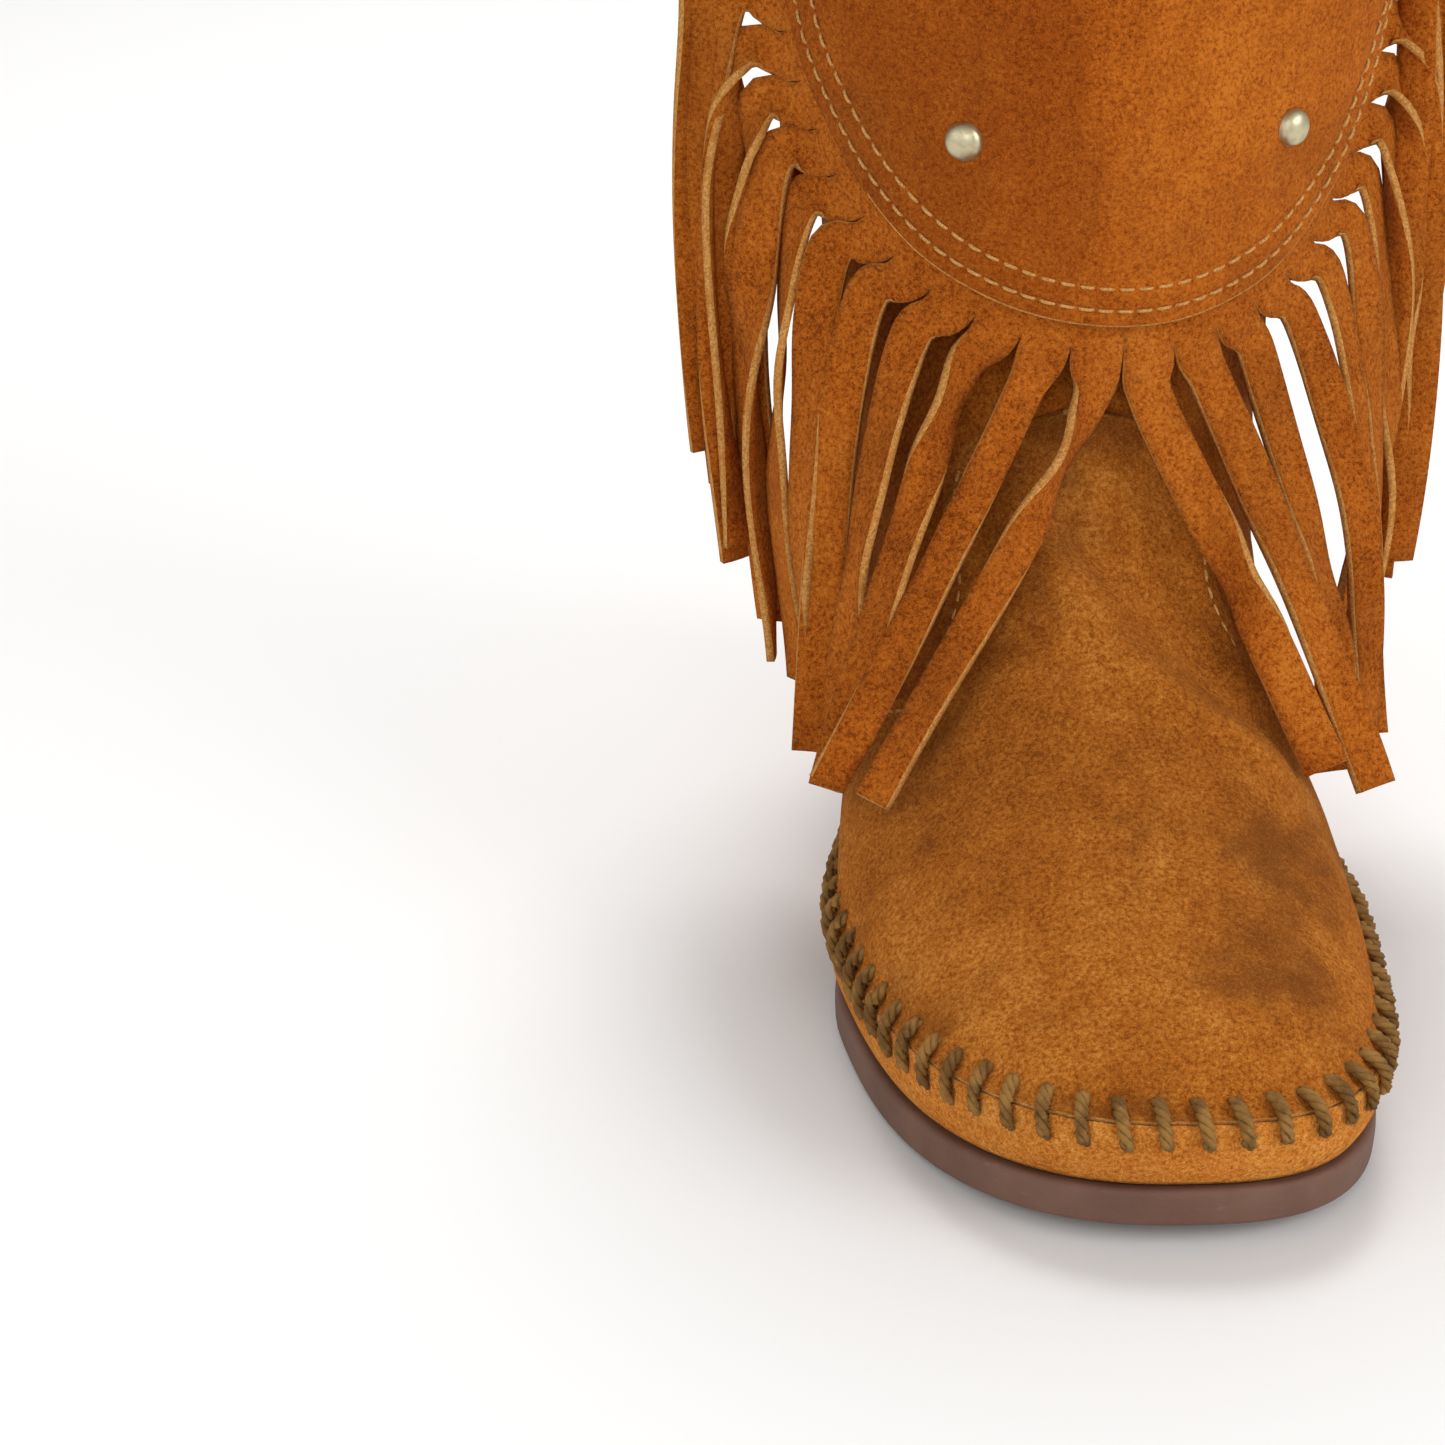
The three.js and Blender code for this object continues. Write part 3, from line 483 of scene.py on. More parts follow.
def quarterEdge(v):
    edges = (1.756, 1.72, 1.68, 1.633, 1.49, 0.852, 0.614, 0.6, 0.6)
    if v >= bootForm["tongueTop"]:
        return 0.0
    if v > bootForm["tongueRound"]:
        t = (v - bootForm["tongueRound"]) / (bootForm["tongueTop"] - bootForm["tongueRound"])
        return bootForm["tongueEdge"] * sqrt(1 - t * t)
    i = floor(v)
    return mix(edges[i], edges[i + 1], smooth(v - i) * 0.5 + (v - i) * 0.5)


# ------ mesh helpers

def newPiece(name, mesh, materials, body, replaces=()):
    piece = bpy.data.objects.new(name, mesh)
    bpy.context.scene.collection.objects.link(piece)
    for material in materials:
        mesh.materials.append(finishes[material])
    if body:
        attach(piece, body)
    if replaces:
        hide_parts(*replaces)
    return piece


def meshFrom(bm, name, smoothShading=True):
    mesh = bpy.data.meshes.new(name)
    for face in bm.faces:
        face.smooth = smoothShading
    bm.to_mesh(mesh)
    bm.free()
    return mesh


# A grid whose points are moved to pointAt(i, j), both from 0 to 1; in millimetres.
def gridInto(bm, columns, rows, pointAt):
    made = bmesh.ops.create_grid(bm, x_segments=columns, y_segments=rows, size=0.5)
    for vert in made["verts"]:
        i = round((vert.co.x + 0.5) * columns) / columns
        j = round((vert.co.y + 0.5) * rows) / rows
        vert.co = pointAt(i, j) * mm
    return made["verts"]


def turnOutwards(bm, outwardAt):
    wrong = 0
    for face in bm.faces:
        if face.normal.dot(outwardAt(face.calc_center_median())) < 0:
            wrong += 1
    if wrong > len(bm.faces) / 2:
        bmesh.ops.reverse_faces(bm, faces=bm.faces)


def thicken(piece, thickness, rim=1, inner=0, offset=-1):
    wall = piece.modifiers.new("wall", "SOLIDIFY")
    wall.thickness = thickness * mm
    wall.offset = offset
    wall.use_even_offset = True
    wall.use_rim = True
    wall.material_offset_rim = rim
    wall.material_offset = inner


def fromMiddle(point):
    # outwards from the boot's long middle line, which bends up into the shaft
    y = point.y / mm
    z = point.z / mm
    if z > 100:
        core = Vector((0, 67, z))
    else:
        core = Vector((0, min(60, y), 30))
    return point / mm - core


def panelPiece(name, columns, rows, rowRings, angleAt, outAt, materials, replaces, thickness):
    bm = bmesh.new()

    def pointAt(i, j):
        v = rowRings(j)
        a = angleAt(i, v)
        return formPoint(a, v, outAt(i, v, a))

    gridInto(bm, columns, rows, pointAt)
    bm.normal_update()
    turnOutwards(bm, fromMiddle)
    piece = newPiece(name, meshFrom(bm, name), materials, "boot", replaces)
    thicken(piece, thickness)
    return piece


# ------ sole unit

soleUnit = {
    "around": 180,
    "lip": 1.8,
    "toeThickness": 8.0,
    "heelThickness": 10.0,
    "edgeRound": 1.3,
    "treadDepth": 1.3,
    "treadRim": 6.0,
}


def soleThickness(y):
    return mix(soleUnit["toeThickness"], soleUnit["heelThickness"], y / 254 + 0.5)


def planPoint(a, inset, height):
    step = 0.02
    point = basePoint(a, 0)
    along = basePoint(a + step, 0) - basePoint(a - step, 0)
    inward = Vector((-along.y, along.x, 0)).normalized()
    place = point + inward * inset
    return Vector((place.x, place.y, springAt(place.y) + height(place.y)))


def spinePoint(a, height):
    edge = basePoint(a, 0)
    y = min(86, max(-84, edge.y))
    lean = 7.5 * max(0, 1 - (y + 125) / 87) ** 2
    return Vector((lean, y, springAt(y) + height(y)))


# A closed pad lofted through (inset, height) stations; the first and last close on the spine.
def closedPad(name, stations, materials, replaces):
    around = soleUnit["around"]
    bm = bmesh.new()
    rows = len(stations) + 1

    def pointAt(i, j):
        a = 2 * pi * i
        k = round(j * rows)
        if k == 0:
            return spinePoint(a, stations[0][1])
        if k == rows:
            return spinePoint(a, stations[-1][1])
        inset, height = stations[k - 1]
        return planPoint(a, inset, height)

    gridInto(bm, around, rows, pointAt)
    bmesh.ops.remove_doubles(bm, verts=bm.verts, dist=0.00001)
    bmesh.ops.recalc_face_normals(bm, faces=bm.faces)
    return newPiece(name, meshFrom(bm, name), materials, "boot", replaces)


def rounded(inset, bottom, top, radius, steps=5):
    lower = []
    upper = []
    for k in range(steps + 1):
        turn = pi / 2 * k / steps
        push = inset + radius * (1 - sin(turn))
        drop = radius * (1 - cos(turn))
        lower.append((push, lambda y, d=drop: bottom(y) + d))
        upper.append((push, lambda y, d=drop: top(y) - d))
    return lower, upper[::-1]


def makeSoleUnit():
    lip = soleUnit["lip"]
    radius = soleUnit["edgeRound"]
    bottom = lambda y: 0.0
    top = lambda y: soleThickness(y) - 0.3
    lower, upper = rounded(-lip, bottom, top, radius)
    recess = lambda y: soleUnit["treadDepth"]
    rim = soleUnit["treadRim"]
    stations = [(rim + 1.2, recess), (rim + 0.4, recess), (rim, bottom), (rim - 1, bottom), (2, bottom)]
    stations += lower
    stations += [(-lip - 0.15, lambda y: soleThickness(y) * 0.5)]
    stations += upper + [(2, top), (8, top)]
    closedPad("rubberSole", stations, ["rubber"], ["outsole"])
    makeTread()
    boardLow = lambda y: soleThickness(y) + 0.3
    boardHigh = lambda y: boardLow(y) + 2
    lower, upper = rounded(3, boardLow, boardHigh, 0.4, 2)
    boardSides = [(9, boardLow)] + lower + upper + [(9, boardHigh)]
    closedPad("insoleBoard", boardSides, ["board"], ["insole_board"])
    bedLow = lambda y: boardHigh(y) + 0.3
    bedHigh = lambda y: bedLow(y) + 4
    lower, upper = rounded(5.8, bedLow, bedHigh, 1.5, 4)
    bedSides = [(12, bedLow)] + lower + upper + [(14, bedHigh)]
    closedPad("suedeFootbed", bedSides, ["lining"], ["footbed"])


def insideOutline(x, y, inset):
    for k in range(48):
        a = pi * (k + 0.5) / 48
        edge = planPoint(a, inset, lambda q: 0)
        if edge.y > y:
            other = planPoint(-a, inset, lambda q: 0)
            return other.x < x < edge.x
    return False


def makeTread():
    bm = bmesh.new()
    pitch = 8.4
    rows = int(250 / pitch)
    for row in range(rows):
        y = -122 + row * pitch
        for column in range(-6, 7):
            x = (column + 0.5 * (row % 2)) * pitch
            if not insideOutline(x, y, soleUnit["treadRim"] + 4.4):
                continue
            place = Matrix.Translation(Vector((x, y, springAt(y) + soleUnit["treadDepth"] / 2 + 0.1)) * mm)
            bmesh.ops.create_cone(bm, cap_ends=True, segments=8, radius1=2.6 * mm, radius2=3.3 * mm,
                                  depth=(soleUnit["treadDepth"] + 0.1) * mm, matrix=place)
    newPiece("soleTread", meshFrom(bm, "soleTread", False), ["rubber"], "boot")


makeSoleUnit()
print("sole unit made")


# ------ toe: wrap, plug and whipstitches

toeSeam = {
    "pitch": 7.1,
    "low": -4.2,
    "high": 4.9,
    "slantLeft": -2.4,
    "slantRight": 1.0,
    "plies": 3,
    "plyRadius": 0.70,
    "plyOffset": 0.74,
    "arch": 1.7,
    "twistLength": 5.2,
    "gap": 0.028,
}


def seamTable(count=600):
    edge = quarterEdge(bootForm["seamRing"])
    points = [basePoint(mix(-edge, edge, k / count), bootForm["seamRing"]) for k in range(count + 1)]
    lengths = [0.0]
    for first, second in zip(points, points[1:]):
        lengths.append(lengths[-1] + (second - first).length)
    return edge, lengths


seamEdge, seamLengths = seamTable()
stitchCount = int(seamLengths[-1] / toeSeam["pitch"])


def seamAngle(length):
    low, high = 0, len(seamLengths) - 1
    while high - low > 1:
        middle = (low + high) // 2
        if seamLengths[middle] < length:
            low = middle
        else:
            high = middle
    share = (length - seamLengths[low]) / max(1e-6, seamLengths[high] - seamLengths[low])
    return mix(-seamEdge, seamEdge, (low + share) / (len(seamLengths) - 1))


def seamLengthAt(i):
    return i * seamLengths[-1]


def pucker(i, away):
    # the suede rises between stitches and is pulled in under each one
    phase = seamLengthAt(i) / toeSeam["pitch"]
    wave = cos(2 * pi * phase)
    return 0.32 * wave * 2.718 ** (-(away / 4.5) ** 2)


def lip(away):
    # both cut edges turn a little outwards where they meet
    return 1.25 * 2.718 ** (-(away / 1.5) ** 2)


def evenAngle(i, v):
    # even steps along the seam, so that the stitches' dents fall in the right places
    share = seamAngle(seamLengthAt(i)) / seamEdge
    return share * quarterEdge(v)


def makeWrap():
    def out(i, v, a):
        away = (bootForm["seamRing"] - v) * 9
        belly = 0.5 * sin(pi * v / 2)
        return lip(away) + pucker(i, away) + belly

    wrapTop = bootForm["seamRing"] - toeSeam["gap"]
    panelPiece("toeWrap", 300, 22, lambda j: mix(0.0, wrapTop, j ** 0.7), evenAngle, out,
               ["wrap", "edge"], ["toe_wrap"], 1.9)


def tongueLift(v, a, edge):
    # the tongue's margin lies on top of the quarters
    margin = (edge - abs(a)) * 44
    return 1.9 * (1 - smooth((margin - 3.0) / 6)) * smooth((v - 4.2) / 0.8)


def makePlug():
    def out(i, v, a):
        away = (v - bootForm["seamRing"]) * 13
        puff = 1.3 * smooth(away / 9) * (1 - smooth((v - 4) / 2))
        over = plugEdge(v)
        return lip(away) + pucker(i, away) + puff + tongueLift(v, a, over)

    def angle(i, v):
        share = seamAngle(seamLengthAt(i)) / seamEdge
        wide = smooth((v - 3.4) / 1.6)
        even = 2 * i - 1
        return mix(share, even, wide) * plugEdge(v)

    plugFoot = bootForm["seamRing"] + toeSeam["gap"]
    plugTop = bootForm["tongueTop"] + 0.06
    panelPiece("toePlug", 300, 84, lambda j: mix(plugFoot, plugTop, j ** 1.25), angle, out,
               ["plug", "edge"], ["plug"], 1.9)


def plugEdge(v):
    # the plug's own edge laps a little over the quarter's
    top = bootForm["tongueTop"] + 0.07
    start = bootForm["tongueRound"]
    if v >= top:
        return 0.02
    if v > start:
        t = (v - start) / (top - start)
        return max(0.02, (bootForm["tongueEdge"] + 0.07) * sqrt(1 - t * t))
    return quarterEdge(v) + 0.07 * smooth((v - 4.2) / 0.8)


def tubeInto(bm, points, radius, sides=6):
    first = bmesh.ops.create_circle(bm, segments=sides, radius=radius * mm, cap_ends=True)["verts"]
    frameUp = Vector((0, 0, 1))
    rings = []
    for k, point in enumerate(points):
        before = points[max(0, k - 1)]
        after = points[min(len(points) - 1, k + 1)]
        along = (after - before).normalized()
        side = along.cross(frameUp)
        if side.length < 0.05:
            side = along.cross(Vector((1, 0, 0)))
        side.normalize()
        rings.append((point, side, side.cross(along)))
    ring = first
    face = first[0].link_faces[0]
    placeRing(ring, rings[0], radius, sides)
    bmesh.ops.reverse_faces(bm, faces=[face])
    edges = list({edge for vert in ring for edge in vert.link_edges})
    for station in rings[1:]:
        made = bmesh.ops.extrude_edge_only(bm, edges=edges)["geom"]
        ring = [g for g in made if isinstance(g, bmesh.types.BMVert)]
        edges = [g for g in made if isinstance(g, bmesh.types.BMEdge)]
        placeRing(ring, station, radius, sides)
    bmesh.ops.contextual_create(bm, geom=edges)


def placeRing(ring, station, radius, sides):
    point, side, up = station
    for k, vert in enumerate(ring):
        turn = 2 * pi * k / sides
        vert.co = (point + (side * cos(turn) + up * sin(turn)) * radius) * mm


def localFrame(a, v):
    here = formPoint(a, v)
    along = (formPoint(a + 0.01, v) - formPoint(a - 0.01, v)).normalized()
    normal = formNormal(a, v)
    upward = normal.cross(along).normalized()
    if upward.z < 0 and abs(upward.z) > 0.1:
        upward = -upward
    return here, along, upward, normal


def makeWhipstitches():
    bm = bmesh.new()
    for k in range(stitchCount):
        length = (k + 0.5) * seamLengths[-1] / stitchCount
        a = seamAngle(length)
        here, along, upward, normal = localFrame(a, bootForm["seamRing"])
        jitter = 0.5 * sin(k * 2.4) + 0.3 * sin(k * 5.7)
        slant = mix(toeSeam["slantLeft"], toeSeam["slantRight"], (a + 1.7) / 3.4) + jitter * 0.5
        steps = 13
        for ply in (2 * pi * n / toeSeam["plies"] for n in range(toeSeam["plies"])):
            points = []
            for s in range(steps + 1):
                t = s / steps
                across = mix(toeSeam["low"] + 0.3 * jitter, toeSeam["high"] + 0.4 * jitter, t)
                rise = toeSeam["arch"] * sin(pi * t) ** 0.6 - 0.9 * (1 - sin(pi * t))
                turn = 2 * pi * across / toeSeam["twistLength"] + ply + jitter
                centre = here + upward * across + along * slant * (t - 0.5) * 2 + normal * (rise + 0.6)
                offset = along * cos(turn) + normal * sin(turn)
                points.append(centre + offset * toeSeam["plyOffset"])
            tubeInto(bm, points, toeSeam["plyRadius"])
    bmesh.ops.recalc_face_normals(bm, faces=bm.faces)
    mesh = meshFrom(bm, "whipstitches")
    newPiece("whipstitches", mesh, ["cord"], "boot", ["whipstitch_cord"])


makeWrap()
makePlug()
makeWhipstitches()
print("toe made,", stitchCount, "whipstitches")


# ------ quarters

def makeQuarters():
    zipRing = ringAtBack(90)
    for name, sign, node in (("innerQuarter", 1, "inner_quarter"), ("outerQuarter", -1, "outer_quarter")):
        def back(v):
            opening = smooth((v - zipRing) / 0.12)
            return pi - backAngle(v, mix(0.2, 5.5, opening))

        def angle(i, v, sign=sign):
            tuck = 0.002 if v >= bootForm["tongueTop"] else -0.03 * smooth((v - 4.5) / 0.5)
            front = quarterEdge(v) + tuck
            return sign * mix(max(0.002, front), back(v), i)

        def out(i, v, a):
            return 0.0

        panelPiece(name, 96, 150, lambda j: mix(0.0, 10.96, j), angle, out, ["suede", "edge"],
                   [node], 1.9)


makeQuarters()
print("quarters made")

# ------ shaft outline

def shaftAt(z):
    ring = ringAt(ringAtBack(z))
    return ring[6], (ring[2] - ring[0]) / 2, (ring[0] + ring[2]) / 2


shaftTable = [shaftAt(k) for k in range(0, 249)]


def shaftNear(z):
    k = min(247, max(0, int(z)))
    t = min(1, max(0, z - k))
    return tuple(mix(a, b, t) for a, b in zip(shaftTable[k], shaftTable[k + 1]))


def shaftPoint(phi, z, out):
    half, depth, middle = shaftNear(z)
    normal = Vector((sin(phi) / half, -cos(phi) / depth, 0)).normalized()
    return Vector((half * sin(phi), middle - depth * cos(phi), z)) + normal * out


# ------ stitches

stitchLook = {"radius": 0.36}


def capsuleInto(bm, first, last, normal, radius):
    bend = normal * (0.35 * radius)
    points = [first - normal * radius, mix(first, last, 0.18) + bend, mix(first, last, 0.5) + bend * 1.6,
              mix(first, last, 0.82) + bend, last - normal * radius]
    tubeInto(bm, points, radius, 6)


# A row of stitches along a curve; placeAt(length) gives a point and the outward direction.
def stitchRow(bm, placeAt, length, pitch, gap=0.28):
    count = max(1, int(length / pitch))
    for k in range(count):
        start, normal = placeAt((k + gap / 2) * length / count)
        end, normal2 = placeAt((k + 1 - gap / 2) * length / count)
        capsuleInto(bm, start, end, (normal + normal2).normalized(), stitchLook["radius"])


def stitchPiece(name, bm, body="boot"):
    bmesh.ops.recalc_face_normals(bm, faces=bm.faces)
    return newPiece(name, meshFrom(bm, name), ["thread"], body)


def alongCurve(points):
    lengths = [0.0]
    for first, second in zip(points, points[1:]):
        lengths.append(lengths[-1] + (second - first).length)
    return lengths


def findOn(lengths, length):
    low, high = 0, len(lengths) - 1
    while high - low > 1:
        middle = (low + high) // 2
        if lengths[middle] < length:
            low = middle
        else:
            high = middle
    return low, (length - lengths[low]) / max(1e-6, lengths[high] - lengths[low])


# ------ flap

flapLook = {
    "top": 248 - 9 - 0.6,
    "depth": 107.0,
    "halfWidth": 74.0,
    "thickness": 2.2,
    "turn": 0.12,
    "tuck": 0.6,
    "standTop": 3.4,
    "standFront": 8.0,
    "standSide": 12.0,
    "crease": 2.4,
    "rows": (3.4, 8.0),
    "stitchPitch": 3.9,
    "columns": 300,
}
flapTip = flapLook["top"] - flapLook["depth"]


def flapPoint(across, up, out):
    z = flapTip + up
    fall = max(0, (flapLook["top"] - z) / flapLook["depth"])
    half, depth, middle = shaftNear(z)
    stand = mix(flapLook["tuck"], flapLook["standTop"], smooth(fall / 0.045)) + out
    width = half + stand + flapLook["standSide"] * smooth(fall * 3)
    reach = depth + stand + flapLook["standFront"] * smooth(fall * 1.2)
    phi = across / (half + flapLook["standSide"] / 2) + flapLook["turn"] * smooth(fall * 3)
    return Vector((width * sin(phi), middle - reach * cos(phi), z))


def flapEdge(k, beyond):
    along = Vector((flapLook["halfWidth"] * cos(k), flapLook["depth"] * sin(abs(k)), 0))
    sign = 1 if k > 0 else (-1 if k < 0 else 0)
    outward = Vector((sign * along.y, -along.x, 0)).normalized()
    across = flapLook["halfWidth"] * sin(k) + outward.x * beyond
    return across, flapLook["depth"] * (1 - cos(k)) + outward.y * beyond


def flapWave(across, up):
    # the flap isn't quite flat: a pressed middle crease, soft waves, a rim drawn in by its seams
    share = min(1, up / 30)
    crease = flapLook["crease"] * 2.718 ** (-abs(across) / 11) * share
    place = Vector((across, up, 3)) / 30
    fade = 1 - smooth((up - 80) / 20)
    return (crease + 1.1 * noise.noise(place) + 0.45 * noise.noise(place * 2.4)) * fade


def flapSurface(across, up, out):
    here = flapPoint(across, up, out)
    right = flapPoint(across + 0.5, up, out) - flapPoint(across - 0.5, up, out)
    upward = flapPoint(across, up + 0.5, out) - flapPoint(across, up - 0.5, out)
    normal = right.cross(upward).normalized()
    return here, normal


def flapFan(k, inward):
    # inward: mm from the edge along the line to the middle of the flap's top
    across, up = flapEdge(k, 0)
    target = Vector((0, flapLook["depth"]))
    edge = Vector((across, up))
    line = target - edge
    share = min(1, inward / max(1, line.length))
    point = edge + line * share
    return point.x, point.y


def makeFlap():
    columns = flapLook["columns"]
    fine = [0.0, 0.35, 0.8, 1.4, 2.0, 2.6, 3.0, 3.4, 3.8, 4.2, 4.8, 5.6, 6.4, 7.0, 7.6, 8.0, 8.4, 9.0, 10.0]
    steps = fine + [12 + 3.2 * n for n in range(40)]
    rows = len(steps) - 1
    bm = bmesh.new()

    def pointAt(i, j):
        k = mix(-pi / 2, pi / 2, i)
        reach = Vector(flapFan(k, 0)) - Vector((0, flapLook["depth"]))
        n = round(j * rows)
        inward = steps[n] if n < 12 else mix(steps[12], reach.length, (n - 12) / (rows - 12))
        across, up = flapFan(k, inward)
        here, normal = flapSurface(across, up, 2.2)
        sink = 0.0
        for row in flapLook["rows"]:
            sink += 0.34 * 2.718 ** (-((inward - row) / 0.62) ** 2)
        edge = 0.35 * 2.718 ** (-(inward / 0.7) ** 2)
        swell = 0.22 * 2.718 ** (-((inward - 5.7) / 1.5) ** 2)
        return here + normal * (flapWave(across, up) + swell - sink - edge)

    gridInto(bm, columns, rows, pointAt)
    bmesh.ops.remove_doubles(bm, verts=bm.verts, dist=0.00003)
    bm.normal_update()
    turnOutwards(bm, fromMiddle)
    for face in bm.faces:
        if any(edge.is_boundary for edge in face.edges) and face.calc_center_median().z < 0.155:
            face.material_index = 1
    mesh = meshFrom(bm, "frontFlap")
    piece = newPiece("frontFlap", mesh, ["flap", "edge"], None, ["front_flap"])
    thicken(piece, 2.1)
    return piece


def makeFlapStitches():
    bm = bmesh.new()
    for row in flapLook["rows"]:
        points = []
        normals = []
        for n in range(401):
            k = mix(-1.5, 1.5, n / 400)
            across, up = flapFan(k, row)
            here, normal = flapSurface(across, up, 2.2)
            points.append(here + normal * (flapWave(across, up) - 0.12))
            normals.append(normal)
        lengths = alongCurve(points)

        def placeAt(length):
            n, t = findOn(lengths, length)
            return mix(points[n], points[n + 1], t), normals[n]

        stitchRow(bm, placeAt, lengths[-1], flapLook["stitchPitch"])
    return stitchPiece("flapStitches", bm, None)


# ------ fringes

fringeLook = {
    "stripWidth": 10.0,
    "slit": 0.7,
    "thickness": 1.7,
    "frontLength": 122.0,
    "rearLength": 96.0,
    "border": 5.0,
    "underlap": 9.0,
    "bandDepth": -1.2 - 0.9,
    "reach": 1.52,
    "sideTurn": 1.1,
    "sideFlare": 0.6,
    "shoulderFront": 18,
    "shoulderSide": 20,
    "outerTips": (50, 12),
    "innerTips": (36, 12),
    "tipsTurn": 0.75,
    "tipTurn": 0.9,
    "tipForward": 46,
    "tipBack": 6,
    "frontHang": 0.66,
    "sideHang": 0.93,
    "lowestTip": 30,
    "tipSway": 4,
    "across": 4,
    "along": 46,
}


def sway(i):
    return sin(i * 2.399) * 0.6 + sin(i * 5.13) * 0.4


def curveThrough(points, count=60):
    padded = [points[0] * 2 - points[1]] + points + [points[-1] * 2 - points[-2]]
    made = []
    for k in range(len(points) - 1):
        a, b, c, d = padded[k:k + 4]
        for n in range(count // (len(points) - 1)):
            t = n / (count // (len(points) - 1))
            made.append(b + 0.5 * t * (c - a + t * (2 * a - 5 * b + 4 * c - d + t * (3 * (b - c) + d - a))))
    return made + [points[-1]]


def frontPath(i, k):
    depth = fringeLook["bandDepth"]
    border = fringeLook["border"]

    def place(beyond):
        return flapPoint(*flapEdge(k, beyond), depth)

    start = place(0)
    outward = (place(border + 2) - place(border)).normalized()
    turn = abs(k)
    side = min(1, turn / fringeLook["sideTurn"])
    sign = -1 if k < 0 else 1
    outward = (outward + Vector((sign * fringeLook["sideFlare"] * side, 0, 0))).normalized()
    length = fringeLook["frontLength"] + border
    shoulder = start + outward * mix(fringeLook["shoulderFront"], fringeLook["shoulderSide"], side)
    near, far = fringeLook["outerTips"] if sign < 0 else fringeLook["innerTips"]
    spread = mix(near, far, smooth(turn / fringeLook["tipsTurn"]))
    back = smooth(turn / fringeLook["tipTurn"])
    drop = length * mix(fringeLook["frontHang"], fringeLook["sideHang"], back)
    swing = fringeLook["tipSway"]
    tip = Vector((
        start.x + sign * (spread + swing * sway(i)),
        start.y + mix(-fringeLook["tipForward"], fringeLook["tipBack"], back) + swing * sway(i + 3),
        max(start.z - drop, fringeLook["lowestTip"]),
    ))
    middle = mix(shoulder, tip, 0.42) + Vector((sign * 4, -9 * (1 - side), -6))
    return curveThrough([place(border), shoulder, middle, tip]), side


def stripPoint(path, lengths, across, hang, u, s, width, twist, curl):
    total = lengths[-1]
    n, t = findOn(lengths, min(s, total - 0.001))
    centre = mix(path[n], path[n + 1], t)
    along = (path[min(len(path) - 1, n + 2)] - path[max(0, n - 1)]).normalized()
    share = s / total
    side = mix(across, hang, smooth(share * 2.4))
    side = (side - along * side.dot(along)).normalized()
    side.rotate(Matrix.Rotation(twist(share), 3, along))
    thick = along.cross(side)
    lift = curl * (4 * u * u - 1) * 0.5
    return centre + side * (u * width) + thick * lift


def twistOf(i, strong, louver=0.0):
    where, much, drift, wobble = strong
    def twist(share):
        bump = 2.718 ** (-((share - where) / 0.13) ** 2)
        turn = louver * smooth(share * 4) + drift * 2.2 * share * share
        return much * bump + turn + wobble * 2.2 * sin(share * 7 + i) * smooth(share * 3)
    return twist


def fringeSheet(name, strips, body, replaces):
    # strips: list of (borderPoint(u, s), ribbonPoint(u, s), underlap, border, length)
    bm = bmesh.new()
    acrossSteps = fringeLook["across"]
    alongSteps = fringeLook["along"]
    for bandPoint, ribbonPoint, underlap, border, length in strips:
        bandRows = 6

        def pointAt(i, j):
            u = i - 0.5
            n = round(j * (alongSteps + bandRows))
            if n <= bandRows:
                return bandPoint(u, mix(-underlap, border, n / bandRows))
            s = border + length * ((n - bandRows) / alongSteps) ** 1.15
            settle = smooth((s - border) / 15)
            return mix(bandPoint(u * 0.985, s), ribbonPoint(u, s - border), settle)

        gridInto(bm, acrossSteps, alongSteps + bandRows, pointAt)
    bmesh.ops.remove_doubles(bm, verts=bm.verts, dist=0.000015)
    bm.normal_update()
    turnOutwards(bm, fromMiddle)
    piece = newPiece(name, meshFrom(bm, name), ["strip", "edge"], body, replaces)
    thicken(piece, fringeLook["thickness"], offset=0)
    return piece


# each front strip: (where it twists, how far, drift, wobble), counted from the flap's point
leftTwists = [
    (0.24, -1.25, 0.2, 0.12), (0.5, 0.25, -0.15, 0.1), (0.22, -1.0, 0.35, 0.15), (0.6, 0.5, 0.2, 0.1),
    (0.3, -0.5, -0.3, 0.12), (0.2, -0.9, 0.3, 0.15), (0.4, 0.6, -0.3, 0.1), (0.28, -0.7, 0.2, 0.2),
]
rightTwists = [
    (0.55, 1.2, 0.1, 0.12), (0.35, 0.3, -0.2, 0.1), (0.6, -0.8, 0.2, 0.1), (0.3, 0.7, -0.25, 0.14),
    (0.45, -0.5, 0.3, 0.12), (0.25, 0.8, 0.2, 0.15), (0.5, 0.6, -0.3, 0.1), (0.35, -0.7, 0.2, 0.2),
]


def walkEdge(sign):
    # where each strip begins and ends along the flap's edge
    stepK = 0.004
    width = fringeLook["stripWidth"]
    depth = fringeLook["bandDepth"]
    marks = [0.0]
    walked = 0.0
    k = 0.0
    last = flapPoint(*flapEdge(0.0001 * sign, fringeLook["border"]), depth)
    while k < fringeLook["reach"]:
        k += stepK
        here = flapPoint(*flapEdge(sign * k, fringeLook["border"]), depth)
        walked += (here - last).length
        last = here
        if walked >= width * len(marks):
            marks.append(k)
    return marks


